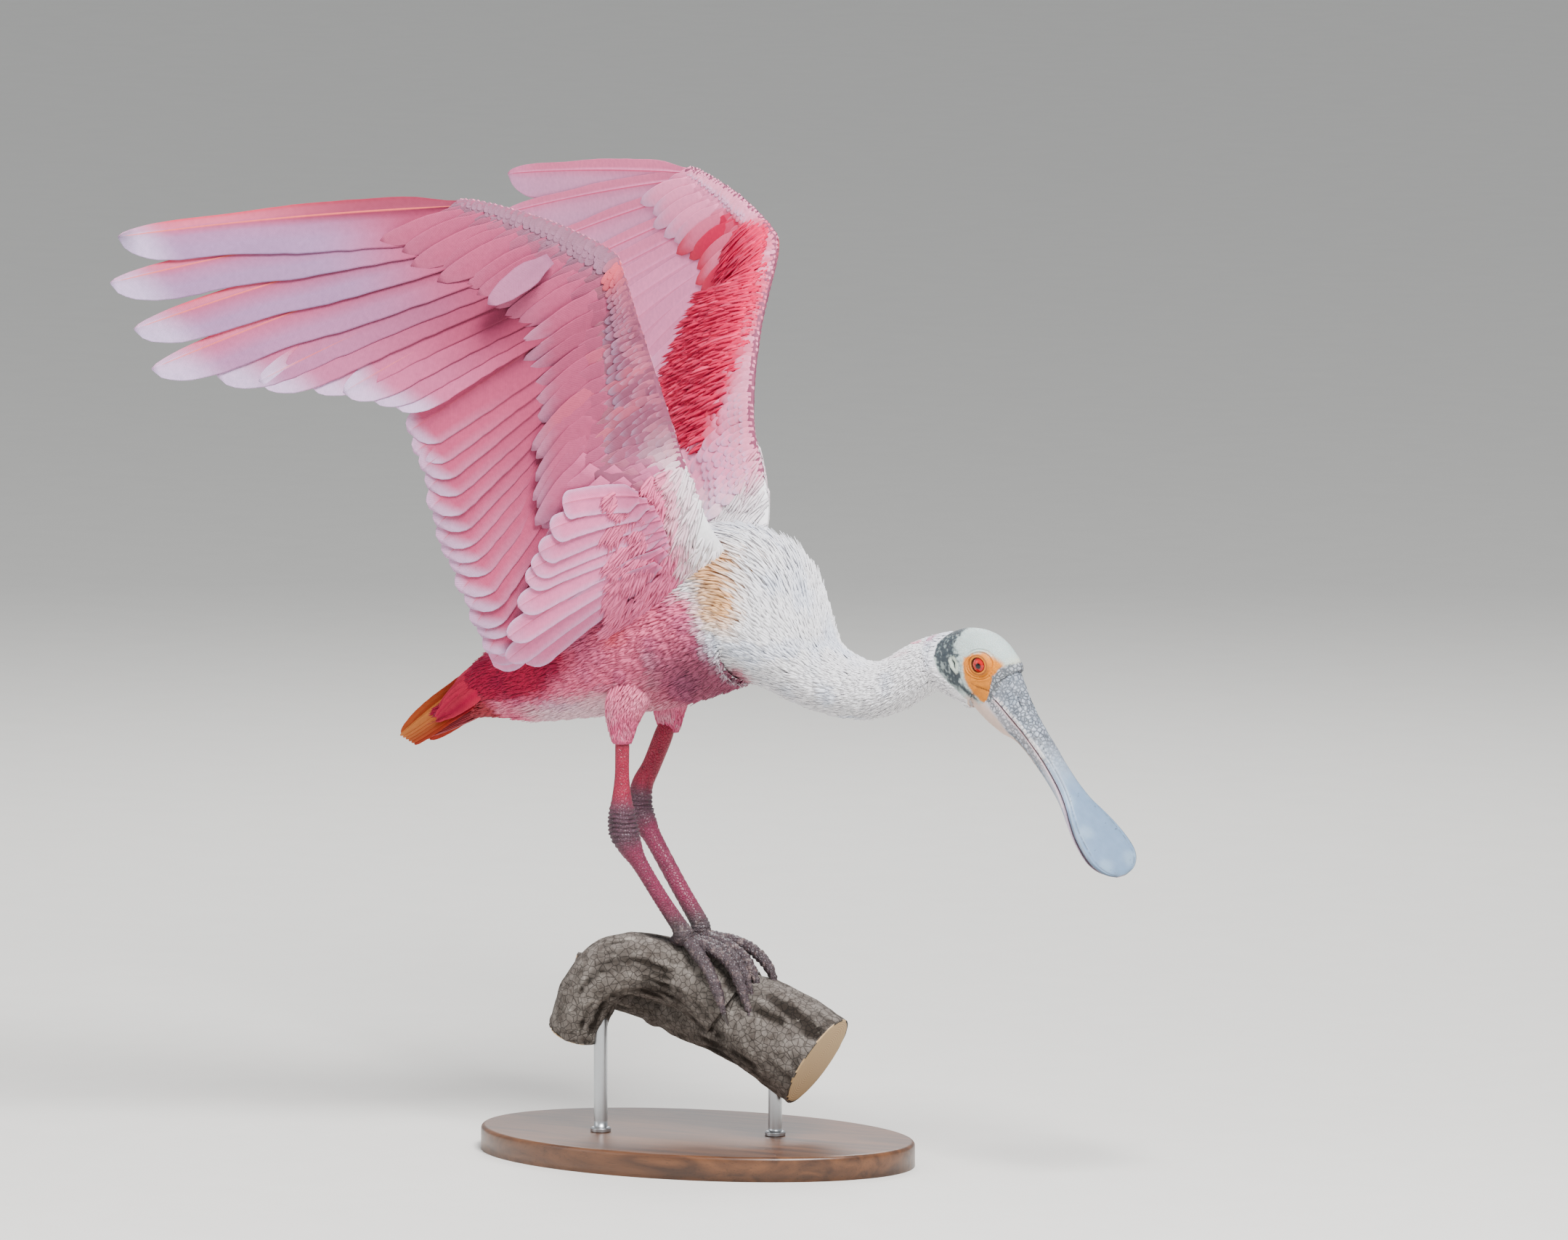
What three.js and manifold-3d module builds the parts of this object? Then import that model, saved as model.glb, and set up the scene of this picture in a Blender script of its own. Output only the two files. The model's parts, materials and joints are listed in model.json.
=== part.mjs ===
import * as THREE from 'three';
import Module from 'manifold-3d';

const wasm = await Module();
wasm.setup();

// Sizes in millimetres. X runs from the tail to the bill, Y to the bird's left, Z up.
const FEET_HEIGHT = 165;
const JOINT_GAP = 0.3;
const BASE_LENGTH = 340;
const BASE_WIDTH = 220;
const BASE_HEIGHT = 18;
const BASE_BEVEL = 3;
const ROD_RADIUS = 5;
const EYE_RADIUS = 7;
const VANE_EDGE = 0.56;
const SLIVER = 0.02;
const BODY_SIDES = 20;
const SEED = 4711;

// One point, measured from the spot where the feet grip the perch.
const at = (x, y, z) => new THREE.Vector3(x, y, z);
const mix = (a, b, t) => a + (b - a) * t;
const radians = THREE.MathUtils.degToRad;

let seed = SEED;
function random() {
  seed = (seed * 16807) % 2147483647;
  return seed / 2147483647;
}
const vary = (amount) => (random() * 2 - 1) * amount;

// Value between the rows of a table, smooth through each row.
function between(rows, u) {
  const last = rows.length - 1;
  const k = Math.min(Math.floor(u), last - 1);
  const t = u - k;
  const a = rows[Math.max(k - 1, 0)];
  const b = rows[k];
  const c = rows[k + 1];
  const d = rows[Math.min(k + 2, last)];
  return b.map((value, i) => {
    const s0 = (c[i] - a[i]) / 2;
    const s1 = (d[i] - value) / 2;
    const step = c[i] - value;
    return value + s0 * t + (3 * step - 2 * s0 - s1) * t * t + (s0 + s1 - 2 * step) * t * t * t;
  });
}

function solidOf(points, faces) {
  let volume = 0;
  faces.forEach(([a, b, c]) => {
    volume += points[a].dot(points[b].clone().cross(points[c]));
  });
  const turned = volume < 0 ? faces.map(([a, b, c]) => [a, c, b]) : faces;
  return new wasm.Manifold(new wasm.Mesh({
    numProp: 3,
    vertProperties: Float32Array.from(points.flatMap((p) => p.toArray())),
    triVerts: Uint32Array.from(turned.flat()),
  }));
}

// Closed surface through rings of equal length. A ring of one point ends it in a tip.
function loft(rings) {
  const points = [];
  const faces = [];
  const first = rings.map((ring) => {
    points.push(...ring);
    return points.length - ring.length;
  });
  const sides = Math.max(...rings.map((ring) => ring.length));
  for (let k = 0; k + 1 < rings.length; k += 1) {
    const a = first[k];
    const b = first[k + 1];
    for (let i = 0; i < sides; i += 1) {
      const j = (i + 1) % sides;
      if (rings[k].length === 1) {
        faces.push([a, b + i, b + j]);
      } else if (rings[k + 1].length === 1) {
        faces.push([a + i, b, a + j]);
      } else {
        faces.push([a + i, b + i, b + j], [a + i, b + j, a + j]);
      }
    }
  }
  [0, rings.length - 1].forEach((k, end) => {
    if (rings[k].length > 1) {
      const middle = at(0, 0, 0);
      rings[k].forEach((p) => middle.add(p));
      points.push(middle.divideScalar(sides));
      for (let i = 0; i < sides; i += 1) {
        const j = (i + 1) % sides;
        const pair = end ? [first[k] + i, first[k] + j] : [first[k] + j, first[k] + i];
        faces.push([points.length - 1, pair[1], pair[0]]);
      }
    }
  });
  return solidOf(points, faces);
}

const united = (list) => list.reduce((sum, one) => sum.add(one));

function largest(solid) {
  return solid.decompose().sort((a, b) => b.volume() - a.volume())[0];
}

// Largest piece, with the slivers closed up that a shallow cut leaves.
const trimmed = (solid) => largest(solid).simplify(SLIVER);

// Round limb along a path of rows [x, y, z, half width, half depth].
function limb(rows, sides, grow = 0) {
  let last = at(0, 1, 0);
  const rings = rows.map((row, k) => {
    const before = rows[Math.max(k - 1, 0)];
    const after = rows[Math.min(k + 1, rows.length - 1)];
    const along = at(after[0] - before[0], after[1] - before[1], after[2] - before[2]).normalize();
    const side = at(0, 0, 1).cross(along);
    if (side.length() < 0.3) {
      side.copy(last);
    }
    side.addScaledVector(along, -side.dot(along)).normalize();
    if (side.dot(last) < 0) {
      side.negate();
    }
    last = side;
    const up = along.clone().cross(side);
    const beyond = (k === rows.length - 1 ? grow : 0) - (k === 0 ? grow : 0);
    return Array.from({ length: sides }, (_, i) => {
      const turn = (i / sides) * 2 * Math.PI;
      return at(row[0], row[1], row[2])
        .addScaledVector(along, beyond)
        .addScaledVector(side, Math.cos(turn) * (row[3] + grow))
        .addScaledVector(up, Math.sin(turn) * (row[4] + grow));
    });
  });
  return loft(rings);
}

// Head frame: x along the bill, z to the crown, from a point inside the base of the bill.
const HEAD_AT = at(254.9, -4, 195.2);
const HEAD_TURN = new THREE.Matrix4()
  .makeRotationZ(radians(-7))
  .multiply(new THREE.Matrix4().makeRotationY(radians(50.6)))
  .multiply(new THREE.Matrix4().makeRotationX(radians(8)));
const onHead = (x, y, z) => at(x, y, z).applyMatrix4(HEAD_TURN).add(HEAD_AT);

// Body from rump to forehead: x, y, z of the middle, half width, height above and below it, roll.
const BODY = [
  [-205, 0, 151, 9, 8, 8, 0],
  [-184, 0, 163, 17, 19, 17, 0],
  [-162, 0, 174, 24, 27, 28, 0],
  [-138, 0, 181, 31, 31, 35, 0],
  [-105, 0, 193, 42, 41, 43, 0],
  [-65, 0, 207, 50, 52, 51, 0],
  [-25, 0, 221, 54, 61, 57, 0],
  [15, 0, 236, 55, 66, 58, 0],
  [45, 0, 240, 51, 63, 55, 0],
  [70, 0, 222, 42, 46, 44, 0],
  [94, 0, 201, 31, 30, 30, 0],
  [118, 1, 190, 25, 24.5, 24.5, 0],
  [141, 3, 186.5, 22, 21.5, 21.5, 1],
  [159, 5, 191, 20, 20, 20, 3],
  [178, 8, 203, 19.5, 20, 20, 5],
  [192.4, 9.4, 208.8, 19, 20.5, 20.5, 7],
  [...onHead(-42, 0, -27).toArray(), 18.5, 23, 27, 8],
  [...onHead(-32, 0, -15).toArray(), 18.2, 27.5, 32, 8],
  [...onHead(-22, 0, -8).toArray(), 17.4, 30.5, 32, 8],
  [...onHead(-12, 0, -5).toArray(), 15.2, 29.5, 30, 8],
  [...onHead(-5, 0, -5.5).toArray(), 12.6, 25.5, 25, 8],
];

function bodyRing(u, grow = 0, beyond = 0, count = BODY_SIDES) {
  const row = between(BODY, u);
  const before = between(BODY, Math.max(u - 0.05, 0));
  const after = between(BODY, Math.min(u + 0.05, BODY.length - 1));
  const along = at(after[0] - before[0], after[1] - before[1], after[2] - before[2]).normalize();
  const side = at(0, 0, 1).cross(along).normalize().applyAxisAngle(along, radians(row[6]));
  const up = along.clone().cross(side);
  return Array.from({ length: count }, (_, i) => {
    const turn = (i / count) * 2 * Math.PI;
    const height = Math.sin(turn) > 0 ? row[4] : row[5];
    return at(row[0], row[1], row[2])
      .addScaledVector(along, beyond)
      .addScaledVector(side, Math.cos(turn) * (row[3] + grow))
      .addScaledVector(up, Math.sin(turn) * (height + grow));
  });
}

// Length of the body between two rows of the table, half a joint gap short at each inner end.
function bodyLength(from, to, steps, grow = 0, count = BODY_SIDES) {
  return loft(Array.from({ length: steps + 1 }, (_, k) => {
    const first = k === 0 && (from > 0 || grow > 0);
    const last = k === steps && (to < BODY.length - 1 || grow > 0);
    const beyond = (last ? 1 : 0) - (first ? 1 : 0);
    const gap = grow > 0 ? grow : -JOINT_GAP / 2;
    return bodyRing(mix(from, to, k / steps), grow, beyond * gap, count);
  }));
}

const nodes = [];
function node(name, solid, look) {
  nodes.push({ name, solid, look });
}

// Bill: rows of distance from the base, half width, lower and upper height.
const UPPER_BILL = [
  [-7, 11.5, -7.4, 20.6],
  [6, 11, -4.5, 15.5],
  [20, 10.6, -2.6, 11],
  [40, 9.8, -0.6, 8],
  [65, 9.2, 0.2, 6],
  [88, 10, -0.6, 5],
  [104, 13.5, -1.2, 4],
  [118, 19, -1.6, 3.2],
  [132, 23.6, -1.8, 2.6],
  [146, 25.6, -1.8, 2.4],
  [156, 24.6, -2, 1.8],
  [163, 20.5, -2.6, 1],
  [168, 14, -3.4, 0],
  [171, 5, -4.6, -1.4],
];
const LOWER_BILL = [
  [-7, 11, -31.5, -8.8],
  [8, 10.6, -29, -5],
  [24, 10, -23.5, -3.2],
  [40, 9.2, -15, -1.4],
  [65, 9.2, -12.2, -0.7],
  [86, 10.4, -11, -1.6],
  [102, 14, -9.4, -2.6],
  [118, 19.4, -7.6, -3.2],
  [132, 23.4, -6.8, -3.4],
  [146, 25.2, -6.2, -3.2],
  [155, 24, -6, -3.2],
  [161.5, 19.5, -6.2, -3.8],
  [166, 12.5, -6.6, -4.6],
  [168.5, 4, -7.2, -5.8],
];

function billHalf(rows, steps, upper) {
  const sides = 14;
  const rings = Array.from({ length: steps + 1 }, (_, k) => {
    const [x, half, low, high] = between(rows, mix(0, rows.length - 1, k / steps));
    return Array.from({ length: sides }, (_, i) => {
      const turn = ((i + 0.5) / sides) * 2 * Math.PI;
      const across = Math.sign(Math.cos(turn)) * Math.abs(Math.cos(turn)) ** 0.8 * half;
      const rise = Math.sin(turn);
      const edge = Math.min(0.6, (high - low) / 4);
      const flat = upper ? low + edge : high - edge;
      const tall = upper ? high - flat : flat - low;
      const short = edge;
      const outer = upper ? rise > 0 : rise < 0;
      return onHead(x, across, flat + rise * (outer ? tall : short));
    });
  });
  return loft(rings);
}

function ball(centre, radius, stretch = [1, 1, 1], detail = 14) {
  const rings = [[centre.clone().add(at(0, 0, radius * stretch[2]))]];
  for (let k = 1; k < detail / 2; k += 1) {
    const tilt = (k / (detail / 2)) * Math.PI;
    rings.push(Array.from({ length: detail }, (_, i) => {
      const turn = (i / detail) * 2 * Math.PI;
      return centre.clone().add(at(
        Math.sin(tilt) * Math.cos(turn) * radius * stretch[0],
        Math.sin(tilt) * Math.sin(turn) * radius * stretch[1],
        Math.cos(tilt) * radius * stretch[2],
      ));
    }));
  }
  rings.push([centre.clone().add(at(0, 0, -radius * stretch[2]))]);
  return loft(rings);
}

// Ring of skin round an eye, made of a round bar.
function lidRing(side) {
  const count = 14;
  const bar = 4;
  const points = [];
  const faces = [];
  for (let i = 0; i < count; i += 1) {
    const turn = (i / count) * 2 * Math.PI;
    for (let j = 0; j < bar; j += 1) {
      const roll = (j / bar) * 2 * Math.PI;
      const reach = 6.4 + Math.cos(roll) * 1.5;
      const x = -22 + Math.cos(turn) * reach * 1.08;
      const z = 4 + Math.sin(turn) * reach * 0.92;
      points.push(onHead(x, side * (17 - Math.abs(x + 22) * 0.04 + Math.sin(roll) * 1.2), z));
      const a = i * bar + j;
      const b = i * bar + ((j + 1) % bar);
      const c = ((i + 1) % count) * bar + j;
      const d = ((i + 1) % count) * bar + ((j + 1) % bar);
      faces.push([a, c, d], [a, d, b]);
    }
  }
  return solidOf(points, faces);
}

// Perch: side branch that the feet grip, and the thick branch it grows from.
// Rows of x, y, z, half width, half depth.
const ARCH = [
  [-86, -28, -76, 19, 19],
  [-80, -30, -61, 20, 20],
  [-70, -31, -42, 20.5, 20.5],
  [-56, -29, -28, 22, 22],
  [-37, -18, -23, 22.5, 22.5],
  [-16, -4, -29, 23.5, 23.5],
  [6, 2, -37, 27, 27],
  [24, 8, -50, 30, 30],
];
const MAIN = [
  [-110, 10, -38, 15, 15],
  [-84, 22, -46, 16.5, 16.5],
  [-50, 30, -54, 18, 18],
  [-20, 30, -60, 24, 24],
  [14, 20, -60, 31, 31],
  [46, 12, -66, 34, 34],
  [72, 12, -78, 35.5, 35.5],
  [92, 14, -90, 36, 36],
];

// Wing frame: x, distance from the bird's middle plane, z. The same rows serve both wings.
// Rows from shoulder to fingertip: front edge, bone line, thickness, depth behind the bone.
const WING = [
  [42, 30, 285, -38, 40, 236, 30, 8],
  [36, 50, 311, -27, 62, 262, 30, 12],
  [30, 57, 335, -16, 74, 298, 27, 14],
  [25, 61, 351, -20, 88, 333, 24, 14],
  [21.6, 63.6, 363, -36, 100, 360, 20, 12],
  [15.8, 73.7, 395, -28, 103, 396, 19, 12],
  [10.6, 88.7, 432, -21, 107, 432, 18, 12],
  [8, 101, 458, -16, 112.5, 458, 17, 10],
  [4, 119, 498, -10, 122, 482, 15.5, 6],
  [-2, 121.5, 511, -16, 127, 494, 14.5, 7],
  [-26, 135, 526, -34, 139, 508, 12, 9],
  [-50, 148, 537, -54, 150, 522, 9.5, 9],
  [-86, 167, 548, -88, 168, 538, 7, 7],
  [-102, 175.5, 549.5, -103, 176, 543.5, 5, 4],
];
const ELBOW = 4;
const WRIST = 8;
const FINGERTIP = 13;

function wingFrame(u) {
  const row = between(WING, u);
  const a = between(WING, Math.max(u - 0.2, 0));
  const b = between(WING, Math.min(u + 0.2, FINGERTIP));
  const front = at(row[0], row[1], row[2]);
  const bone = at(row[3], row[4], row[5]);
  const chord = bone.clone().sub(front);
  const span = at(b[3] - a[3] + b[0] - a[0], b[4] - a[4] + b[1] - a[1], b[5] - a[5] + b[2] - a[2]);
  const back = chord.clone().normalize();
  const above = span.cross(back).normalize();
  if (above.y > 0) {
    above.negate();
  }
  return { front, bone, chord: chord.length(), back, above, thick: row[6], rear: row[7] };
}

function wingRing(u, grow) {
  const { front, chord, back, above, thick, rear } = wingFrame(u);
  const outline = [
    [-grow, 0],
    [chord * 0.16 + 1, 0.26 * thick + grow],
    [chord * 0.8, 0.5 * thick + grow],
    [chord + rear + grow, 0.36 * thick + grow],
  ];
  const lower = outline.slice(1).map(([x, h]) => [x, -h]).reverse();
  return [...outline, ...lower].map(([x, h]) => front.clone()
    .addScaledVector(back, x)
    .addScaledVector(above, h));
}

// The left wing is held a little further back at the elbow and lower at the hand.
// Rows of the shift in x and z, every 60 mm of height from 250 mm.
const LEFT_SHIFT = [[0, 0], [-3, 0], [-8, 0], [-6, 0], [-1, -3], [0, -7]];

function mirror(p, side) {
  if (side < 0) {
    return at(p.x, -p.y, p.z);
  }
  const height = THREE.MathUtils.clamp((p.z - 250) / 60, 0, LEFT_SHIFT.length - 1);
  const [x, z] = between(LEFT_SHIFT, height);
  return at(p.x + x, p.y, p.z + z);
}

// Flesh of the wing between two rows, half a joint gap short at each inner end.
function wingCore(from, to, steps, side, grow = 0) {
  const trim = grow ? -0.02 : 0.012;
  const start = from === 0 ? 0 : from + trim;
  const end = to === FINGERTIP ? to : to - trim;
  return loft(Array.from({ length: steps + 1 }, (_, k) => (
    wingRing(mix(start, end, k / steps), grow).map((p) => mirror(p, side))
  )));
}

// Tips of the feathers in the wing frame: primaries from the wrist, secondaries from the elbow.
const PRIMARY_TIPS = [
  [-144, 198, 397], [-158, 206, 403], [-176, 216, 408], [-198, 227, 413], [-230, 245, 416],
  [-260, 260, 419], [-296, 280, 426], [-307, 286, 455], [-320, 293, 489], [-316, 291, 522],
];
const SECONDARY_TIPS = [
  [-118, 98, 214], [-119, 104, 226], [-121, 110, 236], [-123, 116, 247], [-126, 122, 261],
  [-128, 129, 275], [-129, 136, 288], [-130, 143, 299], [-130, 150, 311], [-130, 158, 325],
  [-130, 164, 339], [-130, 171, 354], [-132, 177, 367], [-134, 184, 382],
];
const AXILLAR_TIPS = [
  [-99, 76, 201], [-106, 95, 210], [-93, 103, 239], [-82, 108, 266],
  [-74, 110, 279], [-62, 112, 299], [-50, 112, 324],
];
const TERTIAL_TIPS = [
  [-136, 58, 195], [-132, 66, 203], [-127, 73, 212], [-122, 80, 222], [-118, 86, 233],
];

// Feather shapes: rows of share of the length, share of the width, thickness of the shaft.
const FINGER_SHAPE = [
  [0, 0.3, 1.6], [0.24, 0.9, 1.2], [0.52, 1, 1], [0.7, 0.66, 0.9], [0.94, 0.58, 0.8], [1, 0.26, 0.6],
];
const BROAD_SHAPE = [[0, 0.4, 1], [0.4, 0.96, 0.8], [0.9, 0.92, 0.7], [1, 0.46, 0.6]];
const COVERT_SHAPE = [[0, 0.5, 0.8], [0.8, 0.96, 0.7], [1, 0.34, 0.6]];

// Sets the direction of the feather's width from its neighbours in the row.
function spread(row) {
  row.forEach((feather, i) => {
    const a = row[Math.max(i - 1, 0)];
    const b = row[Math.min(i + 1, row.length - 1)];
    feather.span = b.tip.clone().sub(a.tip).add(b.root).sub(a.root);
  });
  return row;
}

// Fan of feathers from the bone line of the wing to a row of tips.
function fan(tips, count, from, to, look) {
  return spread(Array.from({ length: count }, (_, i) => {
    const share = i / (count - 1);
    const [x, y, z] = between(tips, share * (tips.length - 1));
    const { bone, back, above } = wingFrame(mix(from, to, share));
    const root = bone.clone().addScaledVector(back, -2).addScaledVector(above, look.lift);
    const tip = root.clone().lerp(at(x, y, z), look.reach + vary(0.012));
    const outer = look.outer * (1 + vary(0.05));
    const inner = look.inner * (1 + vary(0.05));
    return { ...look, root, tip, above, outer, inner };
  }));
}

// Coverts over the feathers of a fan, on its upper side where the lift is positive.
function tier(feathers, look) {
  return spread(feathers.map((feather, i) => {
    const share = i / (feathers.length - 1);
    const along = feather.tip.clone().sub(feather.root).normalize();
    const length = mix(...look.length, share) * (1 + vary(0.04));
    const width = mix(...look.width, share) * (1 + vary(0.05));
    const lifted = (distance, lift) => feather.root.clone()
      .addScaledVector(along, distance)
      .addScaledVector(feather.above, mix(...lift, share));
    return {
      ...feather,
      root: lifted(0, look.rootLift),
      tip: lifted(length, look.tipLift),
      shape: COVERT_SHAPE,
      outer: width * 0.42,
      inner: width * 0.58,
      bow: 0,
      flat: true,
    };
  }));
}

// One feather as a thin closed vane, split into triangles alike on both faces.
function vane(feather, side, grow = 0) {
  const { root, tip, span, shape, outer, inner, tilt, bow = 0, flat = false } = feather;
  const along = tip.clone().sub(root);
  const length = along.length();
  along.normalize();
  const across = span.clone().addScaledVector(along, -span.dot(along)).normalize();
  const above = along.clone().cross(across);
  if (above.dot(feather.above) < 0) {
    above.negate();
  }
  const turn = radians(tilt);
  const edge = across.clone().multiplyScalar(Math.cos(turn)).addScaledVector(above, Math.sin(turn));
  const normal = above.clone().multiplyScalar(Math.cos(turn)).addScaledVector(across, -Math.sin(turn));
  const points = [];
  shape.forEach(([share, width, thick], k) => {
    const end = (k === shape.length - 1 ? grow : 0) - (k === 0 ? grow : 0);
    const shaft = root.clone().addScaledVector(along, length * share + end)
      .addScaledVector(across, bow * 4 * share * (1 - share));
    const half = flat ? thick / 2 + grow : VANE_EDGE / 2 + grow;
    const outerEdge = shaft.clone().addScaledVector(edge, outer * width + grow);
    const innerEdge = shaft.clone().addScaledVector(edge, -inner * width - grow);
    const upper = flat ? [outerEdge, innerEdge] : [outerEdge, shaft, innerEdge];
    const heights = flat ? [half, half] : [half, thick / 2 + grow, half];
    upper.forEach((p, i) => points.push(p.clone().addScaledVector(normal, heights[i])));
    upper.map((p, i) => p.clone().addScaledVector(normal, -heights[i])).reverse()
      .forEach((p) => points.push(p));
  });
  const count = flat ? 4 : 6;
  const faces = [];
  for (let k = 0; k + 1 < shape.length; k += 1) {
    for (let i = 0; i < count; i += 1) {
      const a = k * count + i;
      const b = k * count + ((i + 1) % count);
      const upperFace = i < count / 2;
      faces.push(...(upperFace
        ? [[a, a + count, b + count], [a, b + count, b]]
        : [[a, a + count, b], [a + count, b + count, b]]));
    }
  }
  const last = (shape.length - 1) * count;
  const cap = flat ? [[0, 1, 3], [1, 2, 3]] : [[0, 1, 5], [1, 4, 5], [1, 2, 4], [2, 3, 4]];
  cap.forEach(([a, b, c]) => faces.push([a, b, c], [last + a, last + c, last + b]));
  return solidOf(points.map((p) => mirror(p, side)), faces);
}

const vanes = (feathers, side, grow = 0) => united(feathers.map((one) => vane(one, side, grow)));

// Feathers of one wing, in the wing frame: one covert above and one below each flight feather.
function plumage() {
  const secondaries = fan(SECONDARY_TIPS, 11, ELBOW + 0.2, WRIST - 0.2, {
    lift: 0, reach: 1.03, shape: BROAD_SHAPE, outer: 11, inner: 19, tilt: 9, bow: -2, flat: true,
  });
  secondaries.slice(0, 5).forEach((feather, i) => {
    feather.outer *= 0.7 + i * 0.06;
    feather.inner *= 0.7 + i * 0.06;
    feather.tilt = 20 - 2 * i;
  });
  const primaries = fan(PRIMARY_TIPS, 10, WRIST + 0.4, FINGERTIP - 0.4, {
    lift: 0, reach: 0.98, shape: BROAD_SHAPE, outer: 10, inner: 21, tilt: 9, bow: 3, flat: true,
  });
  primaries.slice(6).forEach((feather, i) => {
    feather.shape = FINGER_SHAPE;
    feather.flat = false;
    feather.tip.lerp(feather.root, -0.03);
    feather.outer = i === 3 ? 12 : 8;
    feather.inner = 24;
  });
  const axillars = fan(AXILLAR_TIPS, 7, 1.1, 2.9, {
    lift: -7, reach: 1.02, shape: BROAD_SHAPE, outer: 9, inner: 14, tilt: 6, bow: 2, flat: true,
  });
  const tertials = fan(TERTIAL_TIPS, 5, 1.7, 3.8, {
    lift: 6, reach: 1.01, shape: BROAD_SHAPE, outer: 10, inner: 14, tilt: 12, bow: 0, flat: true,
  });
  return {
    hand: [
      ...primaries,
      ...tier(primaries, { length: [60, 80], rootLift: [3, 1.6], tipLift: [4.4, 3.8], width: [16, 15] }),
      ...tier(primaries, { length: [48, 52], rootLift: [-3, -1.6], tipLift: [-4.4, -3.8], width: [15, 14] }),
    ],
    forearm: [
      ...secondaries,
      ...tier(secondaries.slice(1), {
        length: [84, 72], rootLift: [3.6, 3.4], tipLift: [4.4, 4.4], width: [16, 17],
      }),
      ...tier(secondaries, { length: [60, 58], rootLift: [-3.6, -3.4], tipLift: [-4.4, -4.4], width: [15, 16] }),
    ],
    upperArm: [...axillars, ...tertials],
  };
}

const THIGH = [
  [-22, 33, 212, 24, 24],
  [-34, 34, 190, 22, 21],
  [-40, 36, 172, 17, 17],
  [-42.5, 36, 157, 12, 12],
  [-42.5, 36, 141, 6.4, 6.4],
];
const RIGHT_LEG = [
  [-42.5, 36, 141, 5.2, 5.2],
  [-42.6, 36.3, 118, 5.3, 5.3],
  [-42.6, 36.7, 102, 6.8, 7.2],
  [-42, 37.4, 88, 10, 10],
  [-40, 38, 77, 11, 10.8],
  [-35, 37, 65, 9.2, 8.6],
  [-29, 34, 53, 6, 6],
  [-15.5, 26, 27, 5.6, 5.6],
  [-3.5, 18, 5, 6.2, 6.2],
];
const LEFT_LEG = [
  [-44, 31, 141, 6.4, 7],
  [-52, 27, 118, 6.4, 7],
  [-58, 24, 104, 7.6, 8],
  [-59.5, 22, 92, 8.8, 9],
  [-59, 21.5, 84, 9, 9.4],
  [-53, 20.5, 73, 8.4, 8.4],
  [-46, 19.5, 63, 6.6, 6.6],
  [-24, 16.5, 31, 6.2, 6.2],
  [-5, 14, 5, 6.6, 6.6],
];

// Toe paths over the perch, from the foot's joint: inner, middle, outer and hind toe.
const RIGHT_TOES = [
  [[-1, -16, -3], [14, -9, -6], [32, -7, -14], [44, -8, -28], [50, -9, -44]],
  [[-1, -16, -3], [18, -16, -8], [36, -17, -18], [47, -19, -36], [54, -19, -56]],
  [[-1, -16, -3], [14, -24, -12], [26, -29, -24], [35, -32, -40], [40, -32, -55]],
  [[-1, -16, -3], [-12, -10, -5], [-22, -2, -8]],
];
const LEFT_TOES = [
  [[-4, 14, -3], [14, 6, -6], [32, 3, -12], [44, 1, -24], [51, 1, -40]],
  [[-4, 14, -3], [14, 18, -6], [34, 18, -11], [50, 17, -24], [57, 16, -40]],
  [[-4, 14, -3], [8, 26, -10], [20, 34, -20], [30, 39, -34]],
  [[-4, 14, -3], [-14, 12, -6], [-24, 12, -12]],
];

function toe(path, grow = 0) {
  const last = path.length - 1;
  const rows = path.map(([x, y, z], k) => {
    const radius = mix(4.6, 2.6, k / last) * (k === last ? 0.3 : 1);
    return [x, y, z, radius + grow, radius + grow];
  });
  return limb(rows, 7);
}

const perch = limb(ARCH, 16).add(limb(MAIN, 16));
const perchRoom = limb(ARCH, 16, JOINT_GAP + 0.1).add(limb(MAIN, 16, JOINT_GAP + 0.1));

const torso = bodyLength(3, 9.6, 16);
const torsoRoom = bodyLength(3, 9.6, 16, JOINT_GAP);
const neckLower = bodyLength(9.6, 12.5, 8);
const neckUpper = bodyLength(12.5, 15, 7);
const tailCore = bodyLength(0.4, 3, 4, 0, 12);

const sides = [['right', -1], ['left', 1]];
let head = bodyLength(15, 20, 12);
sides.forEach(([, side]) => {
  head = head.add(lidRing(side));
});
// The corner of the mouth runs back from the bill into the cheek.
const mouthLine = (side) => [[-13, 15.4, -12.6], [-8, 15.2, -9.4], [-2, 13.4, -6.8], [8, 12, -4.2]]
  .map(([x, y, z]) => [...onHead(x, side * y, z).toArray(), 1, 1]);
sides.forEach(([, side]) => {
  head = head.subtract(limb(mouthLine(side), 6));
  head = head.subtract(ball(onHead(-22, side * 11.6, 4), EYE_RADIUS + JOINT_GAP));
  head = head.subtract(ball(onHead(-35.4, side * 19.2, -14), 3.2, [1, 1, 1], 8));
});
const upperBill = billHalf(UPPER_BILL, 18, true);
const lowerBill = billHalf(LOWER_BILL, 18, false);
const headRoom = bodyLength(15, 20, 12, JOINT_GAP);
let upperBillCut = upperBill.subtract(headRoom);
sides.forEach(([, side]) => {
  const slot = ball(onHead(17, side * 5.6, 10.2), 5, [1, 0.2, 1], 8);
  upperBillCut = upperBillCut.subtract(slot);
});

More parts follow.
